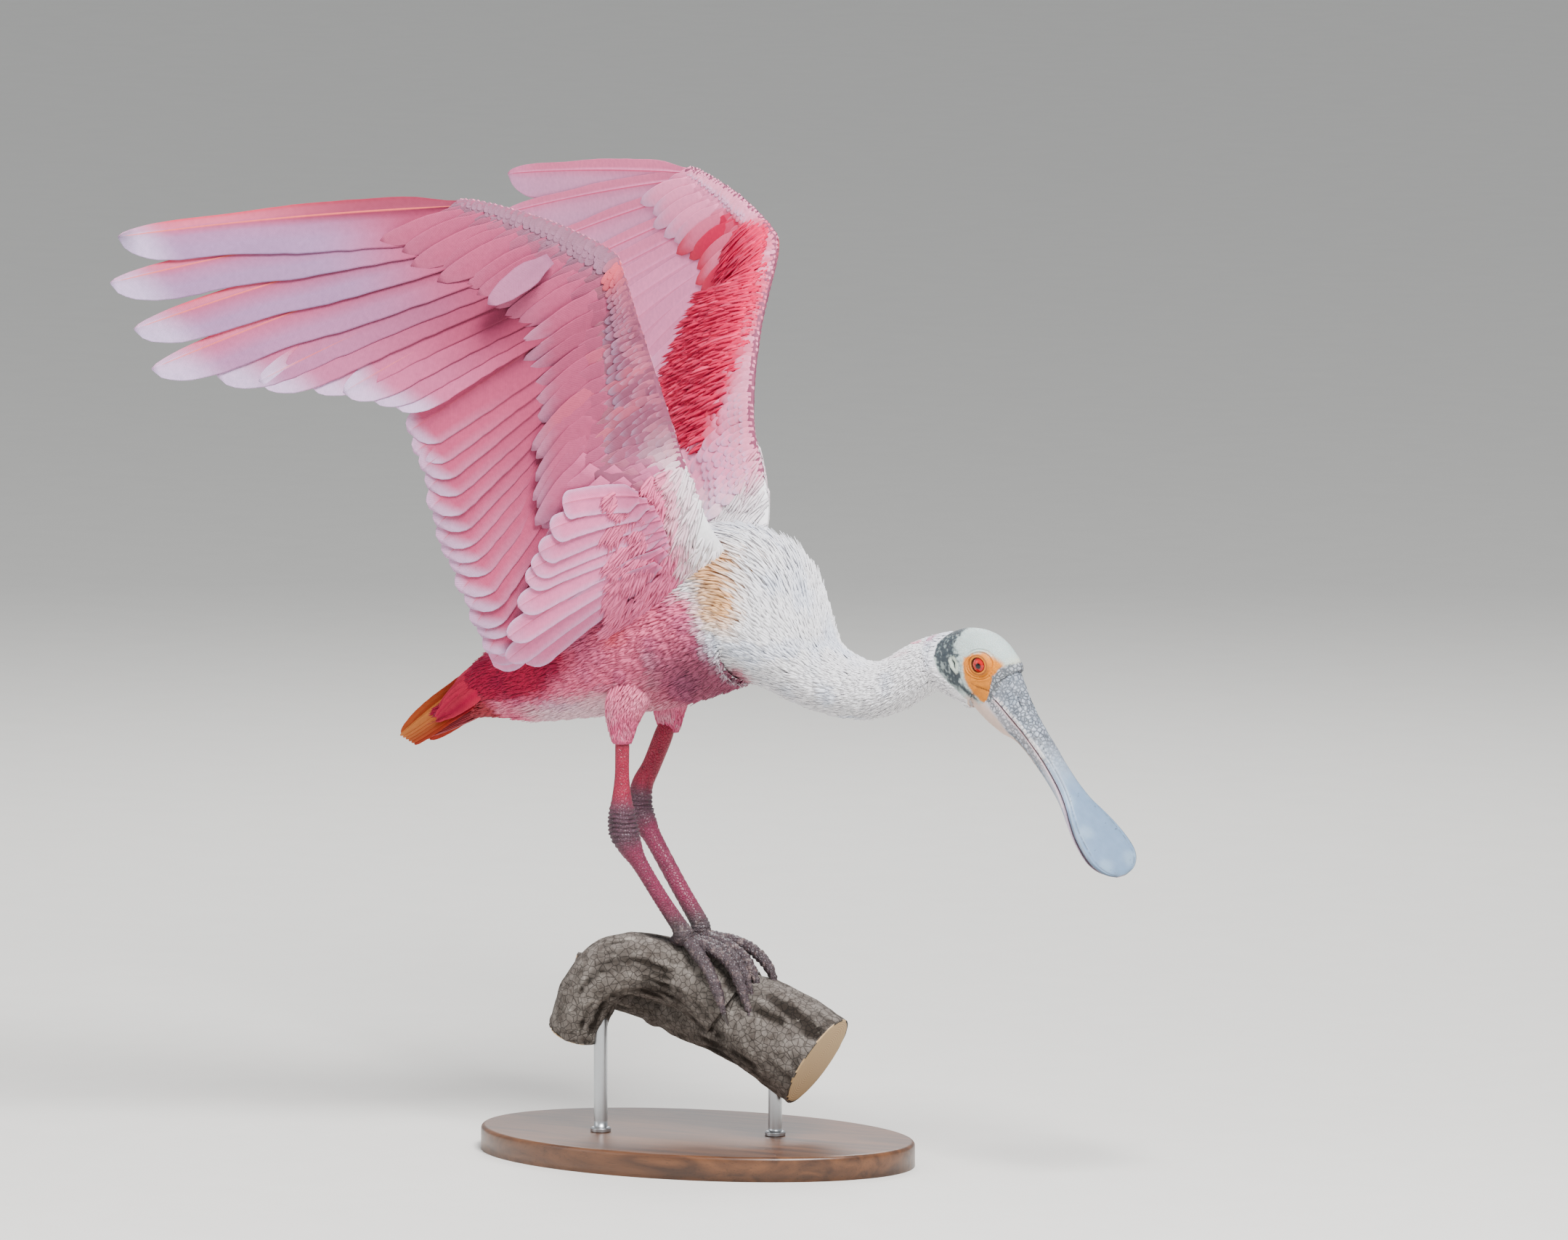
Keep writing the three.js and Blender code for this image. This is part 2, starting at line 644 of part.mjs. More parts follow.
const PINK = { color: '#d8889c', roughness: 0.75, metalness: 0 };
const RED = { color: '#b51c34', roughness: 0.75, metalness: 0 };
const WHITE = { color: '#e6e3ea', roughness: 0.8, metalness: 0 };
const SKIN = { color: '#c5cfc5', roughness: 0.6, metalness: 0 };
const HORN = { color: '#a5abb6', roughness: 0.5, metalness: 0 };
const SHANK = { color: '#a8506a', roughness: 0.5, metalness: 0 };
const FOOT = { color: '#5c4a50', roughness: 0.6, metalness: 0 };
const IRIS = { color: '#c8302c', roughness: 0.1, metalness: 0 };
const BARK = { color: '#8a8078', roughness: 0.9, metalness: 0 };
const WALNUT = { color: '#5a3d28', roughness: 0.45, metalness: 0 };
const STEEL = { color: '#b4b6b8', roughness: 0.3, metalness: 1 };

node('torso', torso, PINK);
node('neck_lower', neckLower, WHITE);
node('neck_upper', neckUpper, WHITE);
node('head', largest(head), SKIN);
node('bill_upper', largest(upperBillCut), HORN);
node('bill_lower', largest(lowerBill.subtract(headRoom)), HORN);

// Tail: twelve feathers, the middle pair uppermost, with coverts above and below.
const tailFeather = (root, tip, look) => ({
  root: at(...root), tip: at(...tip), span: at(0, 1, 0), above: at(0, 0, 1), ...look,
});
const tailFeathers = [];
[1, -1].forEach((side) => {
  for (let i = 0; i < 6; i += 1) {
    const out = i + 0.5;
    const lower = i + (side < 0 ? 0.5 : 0);
    tailFeathers.push(tailFeather(
      [-172, side * out * 2.6, 185 - lower * 1.3],
      [-239 + out * 1.4 + vary(1), side * out * 3.6, 135.5 - lower * 1.1],
      { shape: BROAD_SHAPE, outer: side > 0 ? 6 : 8, inner: side > 0 ? 8 : 6, tilt: side * 6, flat: true },
    ));
  }
  for (let i = 0; i < 3; i += 1) {
    const out = i + 0.5;
    tailFeathers.push(tailFeather(
      [-168, side * out * 5.4, 194 - i * 3],
      [-206 + i * 4 + vary(2), side * out * 6.6, 166 - i * 4.5],
      { shape: COVERT_SHAPE, outer: 7.5, inner: 7.5, tilt: side * -8, flat: true },
    ));
    tailFeathers.push(tailFeather(
      [-172, side * out * 5, 154 + i * 2],
      [-225 + i * 4 + vary(2), side * out * 6, 130 + i * 1.2],
      { shape: COVERT_SHAPE, outer: 7.5, inner: 7.5, tilt: side * 8, flat: true },
    ));
  }
});
node('tail', largest(tailCore.add(vanes(tailFeathers, 1))), RED);

sides.forEach(([name, side]) => {
  const mirrored = (rows) => rows.map(([x, y, ...rest]) => [x, y * side, ...rest]);
  node(`eye_${name}`, ball(onHead(-22, side * 11.6, 4), EYE_RADIUS), IRIS);

  const feathers = plumage();
  const handCore = wingCore(WRIST, FINGERTIP, 7, side);
  const forearmCore = wingCore(ELBOW, WRIST, 6, side);
  const handRoom = wingCore(WRIST, FINGERTIP, 7, side, JOINT_GAP);
  const forearmRoom = wingCore(ELBOW, WRIST, 6, side, JOINT_GAP);
  const upperArmRoom = wingCore(0, ELBOW, 8, side, JOINT_GAP);
  const hand = handCore.add(vanes(feathers.hand, side)).subtract(forearmRoom);
  const forearm = forearmCore.add(vanes(feathers.forearm, side)).subtract(handRoom).subtract(upperArmRoom)
    .subtract(vanes(feathers.hand, side, JOINT_GAP));
  const upperArm = wingCore(0, ELBOW, 8, side).add(vanes(feathers.upperArm, side))
    .subtract(torsoRoom).subtract(forearmRoom).subtract(vanes(feathers.forearm, side, JOINT_GAP));
  node(`wing_${name}_hand`, largest(hand), PINK);
  node(`wing_${name}_forearm`, largest(forearm), PINK);
  node(`wing_${name}_upper_arm`, largest(upperArm), PINK);

  const thigh = limb(mirrored(THIGH), 16);
  const leg = mirrored(side < 0 ? RIGHT_LEG : LEFT_LEG);
  const toes = side < 0 ? RIGHT_TOES : LEFT_TOES;
  const shank = limb(leg.slice(0, 5), 12);
  const tarsusRows = leg.slice(4).map((row) => [...row]);
  const tarsus = limb(tarsusRows, 12);
  const shankRoom = limb(leg.slice(0, 5), 12, JOINT_GAP);
  const thighRoom = limb(mirrored(THIGH), 16, JOINT_GAP);
  node(`leg_${name}_thigh`, trimmed(thigh.subtract(torsoRoom)), PINK);
  node(`leg_${name}_shank`, trimmed(shank.subtract(thighRoom)), SHANK);
  node(`leg_${name}_tarsus`, trimmed(tarsus.subtract(shankRoom)), SHANK);
  const joint = at(...toes[0][0]).lerp(at(leg[8][0], leg[8][1], leg[8][2]), 0.35);
  const foot = united([...toes.map((path) => toe(path)), ball(joint, 7, [1, 1, 1], 10)]);
  const tarsusRoom = limb(tarsusRows, 12, JOINT_GAP);
  node(`leg_${name}_foot`, largest(foot.subtract(tarsusRoom).subtract(perchRoom)), FOOT);
});

node('stand_perch', largest(perch), BARK);

// Stand: oval base and two rods that meet the underside of the perch.
const RODS = [[-64, -30], [58, 12]];
const rodSolids = RODS.map(([x, y], i) => {
  const foot = BASE_HEIGHT + JOINT_GAP - FEET_HEIGHT;
  const rows = [[x, y, foot, ROD_RADIUS, ROD_RADIUS], [x, y, -55, ROD_RADIUS, ROD_RADIUS]];
  return { name: `stand_rod_${i + 1}`, solid: largest(limb(rows, 16).subtract(perchRoom)) };
});
rodSolids.forEach(({ name, solid }) => node(name, solid, STEEL));

const ovalRing = (inset, z) => Array.from({ length: 32 }, (_, i) => {
  const turn = (i / 32) * 2 * Math.PI;
  const x = Math.cos(turn) * (BASE_LENGTH / 2 - inset);
  return at(x, Math.sin(turn) * (BASE_WIDTH / 2 - inset), z - FEET_HEIGHT);
});
const base = loft([
  ovalRing(1, 0),
  ovalRing(0, 1),
  ovalRing(0, BASE_HEIGHT - BASE_BEVEL),
  ovalRing(BASE_BEVEL * 0.4, BASE_HEIGHT - BASE_BEVEL * 0.3),
  ovalRing(BASE_BEVEL, BASE_HEIGHT),
]);
node('stand_base', base, WALNUT);

const model = new THREE.Group();
nodes.forEach(({ name, solid, look }) => {
  const made = solid.getMesh();
  const geometry = new THREE.BufferGeometry();
  geometry.setAttribute('position', new THREE.BufferAttribute(new Float32Array(made.vertProperties), 3));
  geometry.setIndex(new THREE.BufferAttribute(new Uint32Array(made.triVerts), 1));
  geometry.translate(0, 0, FEET_HEIGHT);
  geometry.computeVertexNormals();
  const mesh = new THREE.Mesh(geometry, new THREE.MeshStandardMaterial(look));
  mesh.name = name;
  model.add(mesh);
});

export default model;
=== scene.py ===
"""Roseate spoonbill on a perch: skin, plumage, bill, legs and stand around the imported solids."""

import json
import math

import bmesh
import bpy
import numpy as np
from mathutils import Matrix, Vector, kdtree
from mathutils.bvhtree import BVHTree

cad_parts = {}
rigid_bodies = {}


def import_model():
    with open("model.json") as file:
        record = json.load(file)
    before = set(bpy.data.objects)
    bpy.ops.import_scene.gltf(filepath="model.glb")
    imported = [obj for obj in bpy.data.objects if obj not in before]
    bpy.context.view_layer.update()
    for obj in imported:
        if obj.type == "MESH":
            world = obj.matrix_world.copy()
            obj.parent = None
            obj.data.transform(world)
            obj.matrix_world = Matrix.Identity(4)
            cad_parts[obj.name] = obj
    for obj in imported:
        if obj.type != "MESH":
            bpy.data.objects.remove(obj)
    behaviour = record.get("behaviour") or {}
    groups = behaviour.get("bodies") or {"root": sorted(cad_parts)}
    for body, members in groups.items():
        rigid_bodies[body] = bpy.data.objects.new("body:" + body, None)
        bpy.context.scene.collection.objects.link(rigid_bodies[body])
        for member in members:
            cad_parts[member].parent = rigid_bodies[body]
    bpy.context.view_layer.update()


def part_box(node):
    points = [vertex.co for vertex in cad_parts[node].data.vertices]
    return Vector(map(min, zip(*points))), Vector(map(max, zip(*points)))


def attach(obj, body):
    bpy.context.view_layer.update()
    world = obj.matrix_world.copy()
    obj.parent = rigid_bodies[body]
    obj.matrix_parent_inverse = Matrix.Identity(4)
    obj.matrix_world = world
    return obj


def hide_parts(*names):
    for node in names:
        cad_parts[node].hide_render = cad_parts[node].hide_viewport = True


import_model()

bl_info = {
    "name": "Roseate spoonbill",
    "version": (1, 0, 0),
    "blender": (4, 5, 0),
    "location": "View3D > Sidebar > Spoonbill",
    "description": "Dresses the solids of a roseate spoonbill on a perch",
    "category": "Object",
}

# Lengths are in millimetres from the spot where the feet grip the perch: X to the bill,
# Y to the bird's left, Z up. The frame is in metres, with the base's underside at zero.
FEET_HEIGHT = 165
SEED = 4711
PROPS = "spoonbill"
BAKE_MAP = "OFBake"
VANE_MAP = "Vane"
TINT = "Tint"
# Size of a feather's patch on the bake map.
PATCH = (0.003, 0.003)

# Head frame: x along the bill, z to the crown.
HEAD_AT = np.array([254.9, -4.0, 195.2])
HEAD_YAW, HEAD_PITCH, HEAD_ROLL = -7, 50.6, 8
EYE = np.array([-22.0, 11.6, 4.0])
EYE_RADIUS = 7
EYE_OPENING = 5.4
GAZE = [0.2, 1, 0.16]
LID_OUTER = 7.9

# Places of the wing joints in the table WING, and the spans that carry its flight feathers.
ELBOW, WRIST, FINGERTIP = 4, 8, 13
SECONDARY_SPAN = (ELBOW + 0.2, WRIST - 0.2)
PRIMARY_SPAN = (WRIST + 0.4, FINGERTIP - 0.4)

# Directions of the photo's view: to its right, up in it, and back to the camera.
VIEW_RIGHT = np.array([0.8829, 0.4695, 0.0])
VIEW_UP = np.array([-0.0572, 0.1076, 0.9925])
VIEW_BACK = np.array([0.466, -0.8763, 0.1219])

# Width that the picture shows, in metres, and its middle to the right of the feet and above them.
PICTURE_WIDTH = 1.144
PICTURE_MIDDLE = (63.3, 228.4)


def linear(code):
    """Linear colour of an sRGB hex value."""
    parts = [int(code[i:i + 2], 16) / 255 for i in (1, 3, 5)]
    return tuple(c / 12.92 if c <= 0.04045 else ((c + 0.055) / 1.055) ** 2.4 for c in parts)


def turned(axis, angle):
    """Rotation matrix about x, y or z by degrees."""
    c, s = math.cos(math.radians(angle)), math.sin(math.radians(angle))
    rows = {
        "x": [[1, 0, 0], [0, c, -s], [0, s, c]],
        "y": [[c, 0, s], [0, 1, 0], [-s, 0, c]],
        "z": [[c, -s, 0], [s, c, 0], [0, 0, 1]],
    }
    return np.array(rows[axis])


HEAD_TURN = turned("z", HEAD_YAW) @ turned("y", HEAD_PITCH) @ turned("x", HEAD_ROLL)


def on_head(points):
    """Points of the head frame in the bird's frame."""
    return np.asarray(points, float) @ HEAD_TURN.T + HEAD_AT


def in_head(points):
    """Points of the bird's frame in the head frame."""
    return (np.asarray(points, float) - HEAD_AT) @ HEAD_TURN


def head_row(x, z, half, up, down):
    """Row of BODY from a place in the head frame."""
    return [*on_head([x, 0, z]), half, up, down, HEAD_ROLL]


# Body from rump to the base of the bill: x, y, z of the middle, half width,
# height above and below it, roll.
BODY = np.array([
    [-205, 0, 151, 9, 8, 8, 0],
    [-184, 0, 163, 17, 19, 17, 0],
    [-162, 0, 174, 24, 27, 28, 0],
    [-138, 0, 181, 31, 31, 35, 0],
    [-105, 0, 193, 42, 41, 43, 0],
    [-65, 0, 207, 50, 52, 51, 0],
    [-25, 0, 221, 54, 61, 57, 0],
    [15, 0, 236, 55, 66, 58, 0],
    [45, 0, 240, 51, 63, 55, 0],
    [70, 0, 222, 42, 46, 44, 0],
    [94, 0, 201, 31, 30, 30, 0],
    [118, 1, 190, 25, 24.5, 24.5, 0],
    [141, 3, 186.5, 22, 21.5, 21.5, 1],
    [159, 5, 191, 20, 20, 20, 3],
    [178, 8, 203, 19.5, 20, 20, 5],
    [192.4, 9.4, 208.8, 19, 20.5, 20.5, 7],
    head_row(-42, -27, 18.5, 23, 27),
    head_row(-32, -15, 18.2, 27.5, 32),
    head_row(-22, -8, 17.4, 30.5, 32),
    head_row(-12, -5, 15.2, 29.5, 30),
    head_row(-5, -5.5, 12.6, 25.5, 25),
    head_row(-1, -5.2, 11.6, 22, 23),
    head_row(4, -5, 10.2, 18.6, 20.5),
])
FOREHEAD = 22

# Bill: rows of distance from the base, half width, lower and upper height.
UPPER_BILL = [
    [-7, 11.5, -7.4, 20.6], [5.7, 11, -4.5, 15.5], [19.1, 10.6, -2.6, 11], [38.3, 9.8, -0.6, 8],
    [62.2, 9.2, 0.2, 6], [84.2, 10, -0.6, 5], [99.5, 13.5, -1.2, 4], [112.9, 19, -1.6, 3.2],
    [126.3, 23.6, -1.8, 2.6], [139.7, 25.6, -1.8, 2.4], [149.3, 24.6, -2, 1.8], [156, 20.5, -2.6, 1],
    [160.8, 14, -3.4, 0], [163.6, 5, -4.6, -1.4],
]
LOWER_BILL = [
    [-7, 11, -31.5, -8.8], [7.7, 10.6, -29, -5], [23, 10, -23.5, -3.2], [38.3, 9.2, -15, -1.4],
    [62.2, 9.2, -12.2, -0.7], [82.3, 10.4, -11, -1.6], [97.6, 14, -9.4, -2.6],
    [112.9, 19.4, -7.6, -3.2],
    [126.3, 23.4, -6.8, -3.4], [139.7, 25.2, -6.2, -3.2], [148.3, 24, -6, -3.2],
    [154.6, 19.5, -6.2, -3.8],
    [158.9, 12.5, -6.6, -4.6], [161.3, 4, -7.2, -5.8],
]

# Wing from shoulder to fingertip: front edge, bone line, thickness, depth behind the bone.
WING = np.array([
    [42, 30, 285, -38, 40, 236, 30, 8],
    [36, 50, 311, -27, 62, 262, 30, 12],
    [30, 57, 335, -16, 74, 298, 27, 14],
    [25, 61, 351, -20, 88, 333, 24, 14],
    [21.6, 63.6, 363, -36, 100, 360, 20, 12],
    [15.8, 73.7, 395, -28, 103, 396, 19, 12],
    [10.6, 88.7, 432, -21, 107, 432, 18, 12],
    [8, 101, 458, -16, 112.5, 458, 17, 10],
    [4, 119, 498, -10, 122, 482, 15.5, 6],
    [-2, 121.5, 511, -16, 127, 494, 14.5, 7],
    [-26, 135, 526, -34, 139, 508, 12, 9],
    [-50, 148, 537, -54, 150, 522, 9.5, 9],
    [-86, 167, 548, -88, 168, 538, 7, 7],
    [-102, 175.5, 549.5, -103, 176, 543.5, 5, 4],
])

# The left wing is held a little further back at the elbow and lower at the hand:
# shift in x and z, every 60 mm of height from 250 mm.
LEFT_SHIFT = np.array([[0, 0], [-3, 0], [-8, 0], [-6, 0], [-1, -3], [0, -7]], float)

PRIMARY_TIPS = [
    [-144, 198, 397], [-158, 206, 403], [-176, 216, 408], [-198, 227, 413], [-230, 245, 416],
    [-260, 260, 419], [-296, 280, 426], [-307, 286, 455], [-320, 293, 489], [-316, 291, 522],
]
SECONDARY_TIPS = [
    [-118, 98, 214], [-119, 104, 226], [-121, 110, 236], [-123, 116, 247], [-126, 122, 261],
    [-128, 129, 275], [-129, 136, 288], [-130, 143, 299], [-130, 150, 311], [-130, 158, 325],
    [-130, 164, 339], [-130, 171, 354], [-132, 177, 367], [-134, 184, 382],
]
AXILLAR_TIPS = [
    [-99, 76, 201], [-106, 95, 210], [-93, 103, 239], [-82, 108, 266],
    [-74, 110, 279], [-62, 112, 299], [-50, 112, 324],
]
TERTIAL_TIPS = [
    [-136, 58, 195], [-132, 66, 203], [-127, 73, 212], [-122, 80, 222], [-118, 86, 233],
]

# Legs: x, y, z, half width, half depth. Y is the distance from the middle plane.
THIGH = [
    [-22, 33, 212, 24, 24], [-34, 34, 190, 22, 21], [-40, 36, 172, 17, 17],
    [-42.5, 36, 157, 12, 12], [-42.5, 36, 141, 6.4, 6.4],
]
RIGHT_LEG = [
    [-42.5, 36, 150, 4.4, 4.4], [-42.5, 36, 141, 5.2, 5.2], [-42.6, 36.3, 118, 5.3, 5.3],
    [-42.6, 36.7, 102, 6.8, 7.2], [-42, 37.4, 88, 10, 10], [-40, 38, 77, 11, 10.8],
    [-35, 37, 65, 9.2, 8.6], [-29, 34, 53, 6, 6], [-15.5, 26, 27, 5.6, 5.6], [-3.5, 18, 5, 6.2, 6.2],
]
LEFT_LEG = [
    [-43, 33, 150, 4.6, 4.6], [-44, 31, 141, 6.4, 7], [-52, 27, 118, 6.4, 7], [-58, 24, 104, 7.6, 8],
    [-59.5, 22, 92, 8.8, 9], [-59, 21.5, 84, 9, 9.4], [-53, 20.5, 73, 8.4, 8.4],
    [-46, 19.5, 63, 6.6, 6.6], [-24, 16.5, 31, 6.2, 6.2], [-5, 14, 5, 6.6, 6.6],
]
RIGHT_TOES = [
    [[-1, -16, -3], [14, -9, -6], [32, -7, -14], [44, -8, -28], [50, -9, -44]],
    [[-1, -16, -3], [18, -16, -8], [36, -17, -18], [47, -19, -36], [54, -19, -56]],
    [[-1, -16, -3], [14, -24, -12], [26, -29, -24], [35, -32, -40], [40, -32, -55]],
    [[-1, -16, -3], [-12, -10, -5], [-22, -2, -8]],
]
LEFT_TOES = [
    [[-4, 14, -3], [14, 6, -6], [32, 3, -12], [44, 1, -24], [51, 1, -40]],
    [[-4, 14, -3], [14, 18, -6], [34, 18, -11], [50, 17, -24], [57, 16, -40]],
    [[-4, 14, -3], [8, 26, -10], [20, 34, -20], [30, 39, -34]],
    [[-4, 14, -3], [-14, 12, -6], [-24, 12, -12]],
]
TOE_ROOT, TOE_TIP = 4.3, 2.7

# Perch: x, y, z, half width, half depth. Side branch under the feet, and the thick branch.
ARCH = [
    [-86, -28, -76, 19, 19], [-80, -30, -61, 20, 20], [-70, -31, -42, 20.5, 20.5],
    [-56, -29, -28, 22, 22], [-37, -18, -23, 22.5, 22.5], [-16, -4, -29, 23.5, 23.5],
    [6, 2, -37, 27, 27], [24, 8, -50, 30, 30],
]
MAIN = [
    [-110, 10, -38, 15, 15], [-84, 22, -46, 16.5, 16.5], [-50, 30, -54, 18, 18],
    [-20, 30, -60, 24, 24], [14, 20, -60, 31, 31], [46, 12, -66, 34, 34],
    [72, 12, -78, 35.5, 35.5], [92, 14, -90, 36, 36],
]

# Outlines of the bare skin's markings on the side of the head, in x and z of the head frame.
ORANGE_SKIN = [
    (-33, -3), (-31, 5), (-26, 12), (-19, 15), (-12.5, 17), (-8, 15), (-7, 8), (-3, 0),
    (2, -12), (-3, -17), (-9, -17), (-15, -15), (-22, -12), (-28, -8),
]
DARK_BAND = [
    (-62, -14), (-57, 6), (-53, 3), (-48, -6), (-44, -8), (-38, -7), (-31, -11), (-22, -19),
    (-12, -18), (-7, -20), (-11, -24), (-25, -27), (-40, -28), (-51, -26), (-58, -20),
]
EAR_PATCH = [(-41, -13), (-39.5, -9), (-33, -9.5), (-28.5, -13), (-29, -16.5), (-35, -17),
             (-39.5, -15.5)]
EAR_AT = np.array([-35.4, -13.0])

# Skin's depth under the tips of the feathers at places u of the table BODY.
COAT_DEPTH = [[0, 3], [3, 5], [9, 5], [11, 3.5], [15, 2.2], [16, 0.9], [16.6, 0], [23, 0]]


def colour(name, description, code):
    """Colour setting of the panel, given as an sRGB hex value."""
    return bpy.props.FloatVectorProperty(
        name=name, description=description, subtype="COLOR", size=3, min=0, max=1,
        default=linear(code))


def length(name, description, millimetres):
    """Length setting of the panel, in metres."""
    return bpy.props.FloatProperty(
        name=name, description=description, subtype="DISTANCE", unit="LENGTH", min=0,
        default=millimetres / 1000)


class SpoonbillPlumage(bpy.types.PropertyGroup):
    """Colours of the feathers."""
    body: colour("Body", "Pink of the flanks and the rump", "#e4698e")
    belly: colour("Belly", "Dusty mauve of the belly's shaded side", "#924a62")
    thigh: colour("Thighs", "Pink of the thighs", "#d05780")
    white: colour("Neck and back", "White of the neck and the upper back", "#f1eff2")
    buff: colour("Breast patch", "Buff patch at each side of the breast", "#e09a3c")
    carmine: colour("Carmine", "Carmine of the wing band and the tail coverts", "#dc004e")
    tail: colour("Tail", "Orange of the tail feathers", "#e08a45")
    # Painted shade: red-brown darkening of the tail's downturned faces and of the under tail coverts.
    tail_shade: colour("Tail below", "Red-brown of the tail's sides", "#93201c")
    under_vane: colour("Under wing", "Rose of the flight feathers from below", "#c24f76")
    # Painted shade: the under wing's rose darkened toward the feathers' roots, where they lie under one
    # another and under the coverts.
    root_shade: colour("Under wing, inner", "Deep rose between overlapping feathers", "#83304a")
    upper_vane: colour("Upper wing", "Pale pink of the flight feathers from above", "#f792c2")
    lilac: colour("Feather edges", "Pale lilac of the feathers' tips and trailing edges", "#d0bde2")
    leading: colour("Primary edges", "Red-pink of the primaries' narrow vanes", "#e03c5a")
    shaft: colour("Shafts", "Coral of the primaries' shafts", "#f2705f")
    under_covert: colour("Under coverts", "Lilac pink of the coverts under the wing", "#86465f")
    axillar: colour("Axillars", "Pink of the long feathers in the armpit", "#f080b2")
    upper_covert: colour("Upper coverts", "Pale pink of the coverts on the wing", "#fb94be")


class SpoonbillSkin(bpy.types.PropertyGroup):
    """Colours and sizes of the bare skin, bill and eyes."""
    crown: colour("Crown", "Greenish white skin of the crown", "#b6c5c2")
    orange: colour("Face", "Orange skin round the eye", "#d8800e")
    band: colour("Nape band", "Blackish skin from ear to ear", "#1f2a33")
    iris: colour("Iris", "Red iris", "#ae0d0d")
    bill: colour("Bill", "Blue-grey horn of the spoon", "#738ca9")
    bill_net: colour("Bill net", "Dark net on the rough base of the bill", "#1b2128")
    bill_plate: colour("Bill plates", "Whitish plates along the bill's edge", "#dcd8d6")
    gular: colour("Throat pouch", "Pinkish buff skin under the bill", "#d0b4a6")
    tibia: colour("Upper leg", "Raspberry skin above the joint", "#8c1434")
    tarsus: colour("Lower leg", "Dull raspberry skin below the joint", "#6f203e")
    joint: colour("Joint", "Purple-grey skin of the joint", "#42303a")
    foot: colour("Foot", "Dark skin of the feet", "#42363a")
    claw: colour("Claws", "Black horn of the claws", "#1c1818")
    tuft: length("Body feather", "Length of the feathers on the flank", 19)


class SpoonbillStand(bpy.types.PropertyGroup):
    """Colours and sizes of the perch, the stand and the stage."""
    bark: colour("Bark", "Weathered grey bark", "#756e68")
    bark_dark: colour("Bark cracks", "Dark cracks of the bark", "#241e19")
    walnut: colour("Base", "Oiled walnut", "#6b4429")
    floor: colour("Floor", "Pale studio floor", "#d9d7d2")
    bevel: length("Base edge", "Rounding of the base's upper edge", 3)
    camera: length("Camera distance", "Distance of the camera", 14000)


def settings():
    """Settings of the add-on in this scene."""
    return getattr(bpy.context.scene, PROPS)


# Shared geometry.

def unit(vectors):
    """Vectors of length one."""
    return vectors / np.maximum(np.linalg.norm(vectors, axis=-1, keepdims=True), 1e-9)


def dot(a, b):
    """Dot products of vectors, kept as a column."""
    return (a * b).sum(-1, keepdims=True)


def ramp(x, low, high):
    """Soft step from 0 at low to 1 at high."""
    t = np.clip((x - low) / (high - low), 0, 1)
    return t * t * (3 - 2 * t)


def spot(distance, radius, soft):
    """1 inside a radius, fading to 0 over the soft width."""
    return 1 - ramp(distance, radius - soft / 2, radius + soft / 2)


def blend(base, over, mask):
    """Colour or sRGB hex value over a base colour where the mask is 1."""
    mask = np.asarray(mask)[..., None]
    return base * (1 - mask) + np.asarray(linear(over) if isinstance(over, str) else over) * mask


def plain(colour, shape):
    """One colour at every place of an array."""
    return np.broadcast_to(np.array(colour), (*shape, 3)).copy()


def between(rows, u):
    """Rows of a table at the places u, smooth through each row."""
    table = np.asarray(rows, float)
    places = np.asarray(u, float)
    flat = places.ravel()
    last = len(table) - 1
    k = np.clip(np.floor(flat).astype(int), 0, last - 1)
    t = (flat - k)[:, None]
    a, b, c, d = (table[np.clip(k + i, 0, last)] for i in (-1, 0, 1, 2))
    s0 = (c - a) / 2
    s1 = (d - b) / 2
    step = c - b
    value = b + s0 * t + (3 * step - 2 * s0 - s1) * t ** 2 + (s0 + s1 - 2 * step) * t ** 3
    return value.reshape(*places.shape, table.shape[1])


def lookup(pairs, x):
    """Value at x from pairs of place and value, in straight lines."""
    table = np.asarray(pairs, float)
    return np.interp(x, table[:, 0], table[:, 1])


def noise(points, size, seed=0):
    """Soft noise from -1 to 1, with features of the given size."""
    p = np.asarray(points, float) / size
    cell = np.floor(p).astype(np.int64)
    f = p - cell
    f = f * f * (3 - 2 * f)
    total = np.zeros(p.shape[:-1])
    for corner in range(8):
        offset = np.array([corner & 1, corner >> 1 & 1, corner >> 2 & 1])
        key = (cell + offset) @ np.array([73856093, 19349663, 83492791]) + seed * 7919
        key = (key ^ (key >> 13)) * 1274126177
        value = ((key ^ (key >> 16)) & 0xFFFF) / 32767.5 - 1
        total += value * np.prod(np.where(offset, f, 1 - f), axis=-1)
    return total


def ridged(points, size, seed=0):
    """Noise with sharp valleys, 0 in a valley and 1 between."""
    return np.abs(noise(points, size, seed))


def outline_distance(x, z, outline):
    """Signed distance to a closed outline, negative inside."""
    corners = np.asarray(outline, float)
    best = np.full(x.shape, 1e9)
    inside = np.zeros(x.shape, bool)
    for (ax, az), (bx, bz) in zip(corners, np.roll(corners, -1, axis=0)):
        ex, ez = bx - ax, bz - az
        t = np.clip(((x - ax) * ex + (z - az) * ez) / (ex * ex + ez * ez), 0, 1)
        best = np.minimum(best, np.hypot(x - ax - t * ex, z - az - t * ez))
        crosses = (az > z) != (bz > z)
        inside ^= crosses & (x < ex * (z - az) / np.where(ez == 0, 1e-9, ez) + ax)
    return np.where(inside, -best, best)


def body_axes(u):
    """Row of BODY at u, and the directions along the body, to its left and up."""
    row = between(BODY, u)
    last = len(BODY) - 1
    ahead = between(BODY, np.minimum(u + 0.05, last))
    behind = between(BODY, np.maximum(u - 0.05, 0))
    along = unit(ahead[..., :3] - behind[..., :3])
    side = unit(np.cross([0, 0, 1], along))
    roll = np.radians(row[..., 6:7])
    side = side * np.cos(roll) + np.cross(along, side) * np.sin(roll)
    return row, along, side, np.cross(along, side)


